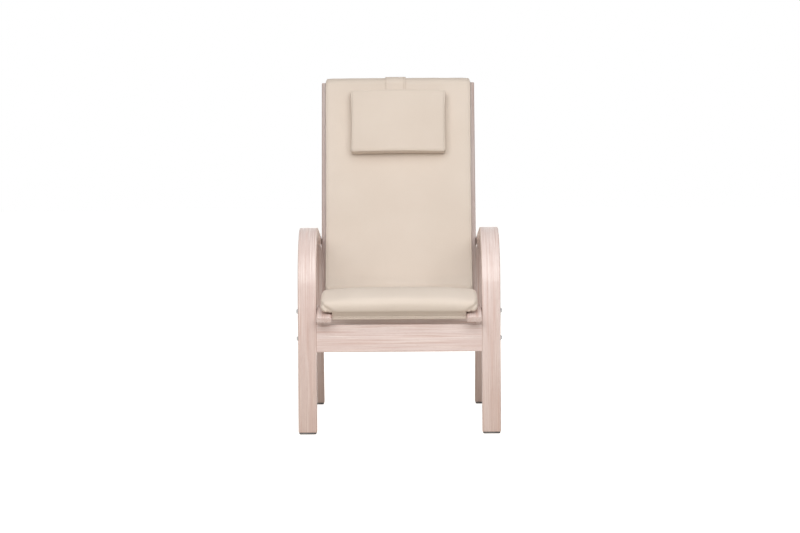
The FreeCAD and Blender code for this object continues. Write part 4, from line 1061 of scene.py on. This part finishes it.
def stitches(middle, ahead, up, half_length=0.0016, radius=0.00036):
    """Sewn stitches, all in one array: each is a spindle of three six-sided rings and two tips laid along its heading,
    bowed so that its middle stands proud and its tips dive into the cloth."""
    count = len(middle)
    turn = np.arange(6)[:, None] * math.pi / 3
    aside = np.cross(ahead, up)
    rounds = np.cos(turn) * aside[:, None] + np.sin(turn) * up[:, None]
    rows = [
        middle[:, None] + share * half_length * ahead[:, None] + radius * (width * rounds + bow * up[:, None])
        for share, width, bow in ((-0.7, 0.8, -0.1), (0.0, 1.0, 0.35), (0.7, 0.8, -0.1))
    ]
    tips = [middle + sign * half_length * ahead - 1.1 * radius * up for sign in (-1, 1)]
    points = np.concatenate(rows + [tip[:, None] for tip in tips], axis=1).reshape(-1, 3)
    edge = np.arange(6)
    after = np.roll(edge, -1)
    quads = np.concatenate([np.stack([edge, after, after + 6, edge + 6], axis=1) + 6 * row for row in (0, 1)])
    fans = np.concatenate([np.stack([after, edge, edge * 0 + 18], axis=1),
                           np.stack([edge + 12, after + 12, edge * 0 + 19], axis=1)])
    start = 20 * np.arange(count)[:, None, None]
    faces = (quads + start).reshape(-1, 4).tolist() + (fans + start).reshape(-1, 3).tolist()
    return np.concatenate([points, 0 * points], axis=1), faces


def cloth_outline(half, rows):
    """Outline of a flat cloth strip: the upper face, a rounded edge, the lower face and the other rounded edge. Both
    faces dip by a bell along each sewn row."""
    reach = CLOTH_THICK / 2
    flat = half - reach
    near_rows = [row + np.linspace(-0.003, 0.003, 13) for row in rows]
    across = np.unique(np.concatenate([np.linspace(-flat, flat, 31)] + near_rows))
    across = across[np.abs(across) <= flat]
    face = reach - sum(0.0006 * np.exp(-((across - row) / 0.0013) ** 2) for row in rows) + 0 * across
    turn = np.linspace(0, math.pi, 7)[1:-1]
    return (np.concatenate([across[::-1], -flat - reach * np.sin(turn), across, flat + reach * np.sin(turn)]),
            np.concatenate([face[::-1], reach * np.cos(turn), -face, -reach * np.cos(turn)]))


def doubled(place, hems):
    """Share of the cloth that is doubled at a place along it: a steep step up at the begin of each hem and down at its
    end."""
    steps = [np.tanh((place - begin) / HEM_EDGE) - np.tanh((place - end) / HEM_EDGE) for begin, end, _ in hems]
    return 0.5 * sum(steps)


def cloth_strip(name, node, line, half, offset, finish, outer, rows=(), hems=(), step=0.0022):
    """Flat cloth strip carried along a line; its place on the cloth is (across, along).

    outer is 1 or -1, for the face that shows. Each of rows is a sewn row along the strip, at a distance across. Each of
    hems is (begin, end, sewn): between begin and end the cloth is doubled on the outer face, and a row of stitches
    runs across it at sewn.
    """
    length = line["length"]
    reach = CLOTH_THICK / 2
    ease = reach * np.array([0.06, 0.3, 0.65, 1.0])
    along = np.concatenate([ease, np.linspace(0, length, int(length / step))[2:-2], length - ease[::-1]])
    near = np.clip(np.minimum(along, length - along) / reach, 0, 1)
    thick = np.sqrt(1 - (1 - near) ** 2)[:, None]
    across, face = cloth_outline(half, rows)
    ridge = outer * HEM_RISE * doubled(along, hems)[:, None] * (face * outer > 0) if hems else 0.0
    lift = face * thick + ridge
    rings = np.concatenate([
        on_line(line, along[:, None], across + offset, lift),
        np.stack(np.broadcast_arrays(across, along[:, None], face), axis=-1),
    ], axis=-1)
    parts = [skin(rings)]
    cloth_faces = len(parts[0][1])
    for row in rows:
        place = np.arange(0.004, length - 0.003, STITCH_PITCH)
        angle = np.interp(place, line["along"], line["angle"])
        ahead = np.stack([0 * angle, np.cos(angle), np.sin(angle)], axis=1)
        up = outer * np.stack([0 * angle, -np.sin(angle), np.cos(angle)], axis=1)
        parts.append(stitches(on_line(line, place, row + offset, outer * (reach - 0.00045)), ahead, up))
    for _, _, sewn in hems:
        place = np.arange(-half + 0.005, half - 0.004, STITCH_PITCH)
        angle = float(np.interp(sewn, line["along"], line["angle"]))
        up = np.tile(outer * np.array([0.0, -math.sin(angle), math.cos(angle)]), (len(place), 1))
        ahead = np.tile(np.array([1.0, 0.0, 0.0]), (len(place), 1))
        height = outer * (reach + HEM_RISE * doubled(sewn, hems) + 0.0001)
        parts.append(stitches(on_line(line, sewn, place + offset, height), ahead, up))
    mesh = cloth_mesh(name, parts)
    piece = new_piece(mesh, finish)
    mesh.materials.append(thread)
    sewn_faces = np.arange(len(mesh.polygons)) >= cloth_faces
    mesh.polygons.foreach_set("material_index", sewn_faces.astype(np.int32))
    if node:
        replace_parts(piece, node)
    return piece


# Lift of the cover where it lies on the rails' upper faces, and the half widths of its flap and its hood.
ON_RAILS, FLAP_HALF, HOOD_HALF = 0.0101, 0.204, 0.237
FLAP_ROUND, HOOD_ROUND = 0.0034, 0.004

flap_start = on_line(rail_line, 0.052, 0.0, ON_RAILS)[1:]
flap_line = bent_line(flap_start, TIP_SLOPE + 180, (0.0227, 0.0134, 0.042), ((FLAP_ROUND, 90), (FLAP_ROUND, 90)))
front_flap = cloth_strip("front_flap", "cover_front_flap", flap_line, FLAP_HALF, 0.0, cover, -1,
                         hems=((0.0362, 0.0460, 0.0374),), step=0.0008)
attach(front_flap, "chair")

tuck_start, tuck_end = on_line(rail_line, np.array([0.0155, 0.0246]), 0.0, np.array([0.0195, 0.0020]))[:, 1:]
tuck_y, tuck_z = tuck_end - tuck_start
tuck_line = bent_line(tuck_start, math.degrees(math.atan2(tuck_z, tuck_y)), (float(np.hypot(tuck_y, tuck_z)),))
front_tuck = cloth_strip("front_tuck", None, tuck_line, FLAP_HALF, 0.0, cover, -1, step=0.0008)
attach(front_tuck, "chair")

hood_line = bent_line(back_place(-0.034, ON_RAILS), BACK_HEADING, (0.0332, 0.0122, 0.095),
                      ((HOOD_ROUND, -90), (HOOD_ROUND, -90)))
hood_hem = hood_line["length"] - 0.012
top_hood = cloth_strip("top_hood", "cover_top_hood", hood_line, HOOD_HALF, 0.0, cover, 1,
                       hems=((hood_hem, 1.0, hood_hem + 0.002),), step=0.0012)
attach(top_hood, "chair")

STRAP_X, STRAP_HALF, STRAP_LIFT = -0.008, 0.0335, 0.0632
STRAP_ROWS = (-0.0314, 0.0259, 0.0314)
STRAP_TAIL, STRAP_OVER = 0.040, 0.0458
STRAP_ROUND, HANG_ROUND, HANG_RUN = 0.0291, 0.0096, 0.275
strap_run = REST_DROP + STRAP_TAIL - 0.0187
strap_line = bent_line(back_place(-REST_DROP - STRAP_TAIL, STRAP_LIFT), BACK_HEADING, (strap_run, STRAP_OVER / 2),
                       ((STRAP_ROUND, -90),))
strap_front = cloth_strip("strap_front_run", "headrest_strap_front", strap_line, STRAP_HALF, STRAP_X, strap_cloth, 1,
                          rows=STRAP_ROWS)
top_edge = on_line(strap_line, strap_run, STRAP_X, 0.0)
tail_end = on_line(strap_line, 0.002, STRAP_X, 0.0)
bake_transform(strap_front)

rear_start = on_line(strap_line, strap_line["length"], 0.0, 0.0)[1:]
hang_line = bent_line(rear_start, BACK_HEADING - 90, (STRAP_OVER / 2, HANG_RUN), ((HANG_ROUND, -BACK_HEADING),))
strap_rear = cloth_strip("strap_rear_run", "headrest_strap_rear", hang_line, STRAP_HALF, STRAP_X, strap_cloth, 1,
                         rows=STRAP_ROWS)
hang_top = on_line(hang_line, STRAP_OVER / 2 + 0.016, STRAP_X, 0.0)
hang_foot = on_line(hang_line, hang_line["length"] + 0.055, STRAP_X, 0.0)
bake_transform(strap_rear)


def weight_pouch():
    """Cloth pouch round the weight: a flat pad carried up the hanging strap, tapered at its lower and upper ends."""
    low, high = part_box("weight_pouch")
    pouch_line = bent_line(((low.y + high.y) / 2, low.z), 90.0, (high.z - low.z,))
    length = pouch_line["length"]
    along = length * (1 - np.cos(np.linspace(0, math.pi, 50))) / 2
    share = along / length
    knots = [0, 0.05, 0.18, 0.5, 0.82, 0.95, 1]
    half = 0.046 - 0.004 * np.interp(share, knots, [1.2, 0.5, 0, 0.4, 0.2, 0.6, 1.3]) - 0.002
    deep = 0.024 * np.interp(share, knots, [0.1, 0.28, 0.4, 0.42, 0.36, 0.2, 0.08]) - 0.001
    across, lift = pad_ring(half, -deep, deep, 0.0006, 0.006, 0.006)
    rings = on_line(pouch_line, along[:, None], across + STRAP_X, lift)
    mesh = voxel_skin("counterweight_pouch", *skin(closed_ends(rings)), 0.003, 5)
    start = point_array(mesh)
    grip = np.clip(np.abs(start[:, 2] - (low.z + high.z) / 2) / (length / 2) * 4 - 3, 0, 1)
    points = swollen(mesh, grip, 0.0022)
    cloth = np.stack([start[:, 0], start[:, 2], 0 * start[:, 0]], axis=1)
    piece = finish_pad(mesh, points, cloth, cover, 0.6, "counterweight", "weight_pouch", "weight_core")
    sides = [rings[:, RIGHT_MIDDLE], rings[:, LEFT_MIDDLE]]
    welts("counterweight_pouch_seams", piece, sides, 0.0008, cover, "counterweight")


weight_pouch()


# ------------------------------------------------------------------ stage, light and camera
def seen_directly(tree):
    """One where the camera, a reflection or glass looks at the backdrop, and zero where it only lights the chair."""
    path = shader_node(tree, "LightPath").outputs
    seen = sums(tree, "MAXIMUM", path["Is Camera Ray"], path["Is Glossy Ray"])
    return sums(tree, "MAXIMUM", seen, path["Is Transmission Ray"])


AMBIENT, WHITE = (0.250, 0.238, 0.219, 1.0), (1.0, 1.0, 1.0, 1.0)
FLOOR_TONE, FLOOR_GLOW, FLOOR_REACH = (0.66, 0.62, 0.57, 1.0), 0.86, 14

world = bpy.data.worlds.new("white_studio")
scene.world = world
world.use_nodes = True
sky = world.node_tree.nodes["Background"]
backdrop = blended(world.node_tree, seen_directly(world.node_tree), AMBIENT, WHITE)
world.node_tree.links.new(backdrop, sky.inputs["Color"])

floor_mesh = bpy.data.meshes.new("studio_floor")
floor_corners = [(x * FLOOR_REACH, y * FLOOR_REACH, 0) for x, y in ((-1, -1), (1, -1), (1, 1), (-1, 1))]
floor_mesh.from_pydata(floor_corners, [], [(0, 1, 2, 3)])
floor = bpy.data.objects.new("studio_floor", floor_mesh)
scene.collection.objects.link(floor)
floor_finish, floor_tree = new_finish(
    "pale_floor", Base_Color=FLOOR_TONE, Emission_Color=WHITE, Roughness=0.9, Specular_IOR_Level=0.1
)
glow = sums(floor_tree, "MULTIPLY", seen_directly(floor_tree), FLOOR_GLOW)
floor_tree.links.new(glow, floor_tree.nodes["Principled BSDF"].inputs["Emission Strength"])
floor_mesh.materials.append(floor_finish)


def softbox(name, place, aim, width, height, power, colour):
    """Rectangular lamp that looks at a point."""
    lamp = bpy.data.lights.new(name, "AREA")
    lamp.shape = "RECTANGLE"
    lamp.size, lamp.size_y, lamp.energy = width, height, power
    lamp.color = colour
    made = bpy.data.objects.new(name, lamp)
    made.location = place
    made.rotation_euler = (Vector(aim) - Vector(place)).to_track_quat("-Z", "Y").to_euler()
    made.visible_camera = False
    scene.collection.objects.link(made)
    return made


LAMP_WHITE, LAMP_WARM = (1.0, 0.998, 0.99), (1.0, 0.99, 0.975)
softbox("front_softbox", (0.0, -3.0, 2.1), (0.0, -0.1, 0.7), 4.2, 1.7, 88.0, LAMP_WHITE)
softbox("top_softbox", (0.0, -1.9, 3.0), (0.0, 0.0, 0.7), 3.0, 1.0, 20.0, LAMP_WHITE)
rear_softbox = softbox("rear_softbox", (0.0, 3.0, 1.4), (0.0, 0.0, 0.6), 3.0, 1.6, 40.0, LAMP_WARM)
rear_softbox.visible_glossy = False

# Focal length in pixels of an image 800 wide; the camera's distance from the front feet; tilt and roll in degrees.
FOCAL_PIXELS, IMAGE_WIDTH, SENSOR_WIDTH = 2305.9, 800.0, 36.0
CAMERA_X, CAMERA_AWAY, CAMERA_Z = 0.0034, 7.0, 1.0232
CAMERA_TILT, CAMERA_ROLL = 4.155, -0.33
lens = bpy.data.cameras.new("camera")
camera = bpy.data.objects.new("camera", lens)
lens.sensor_fit = "HORIZONTAL"
lens.sensor_width = SENSOR_WIDTH
lens.lens = FOCAL_PIXELS * SENSOR_WIDTH / IMAGE_WIDTH
lens.clip_end = 100.0
camera.location = (CAMERA_X, front_foot_y - CAMERA_AWAY, CAMERA_Z)
tilt = Matrix.Rotation(math.radians(90 - CAMERA_TILT), 3, "X")
roll = Matrix.Rotation(math.radians(CAMERA_ROLL), 3, "Z")
camera.rotation_euler = (tilt @ roll).to_euler()
scene.collection.objects.link(camera)
scene.camera = camera
scene.view_settings.view_transform = "Standard"
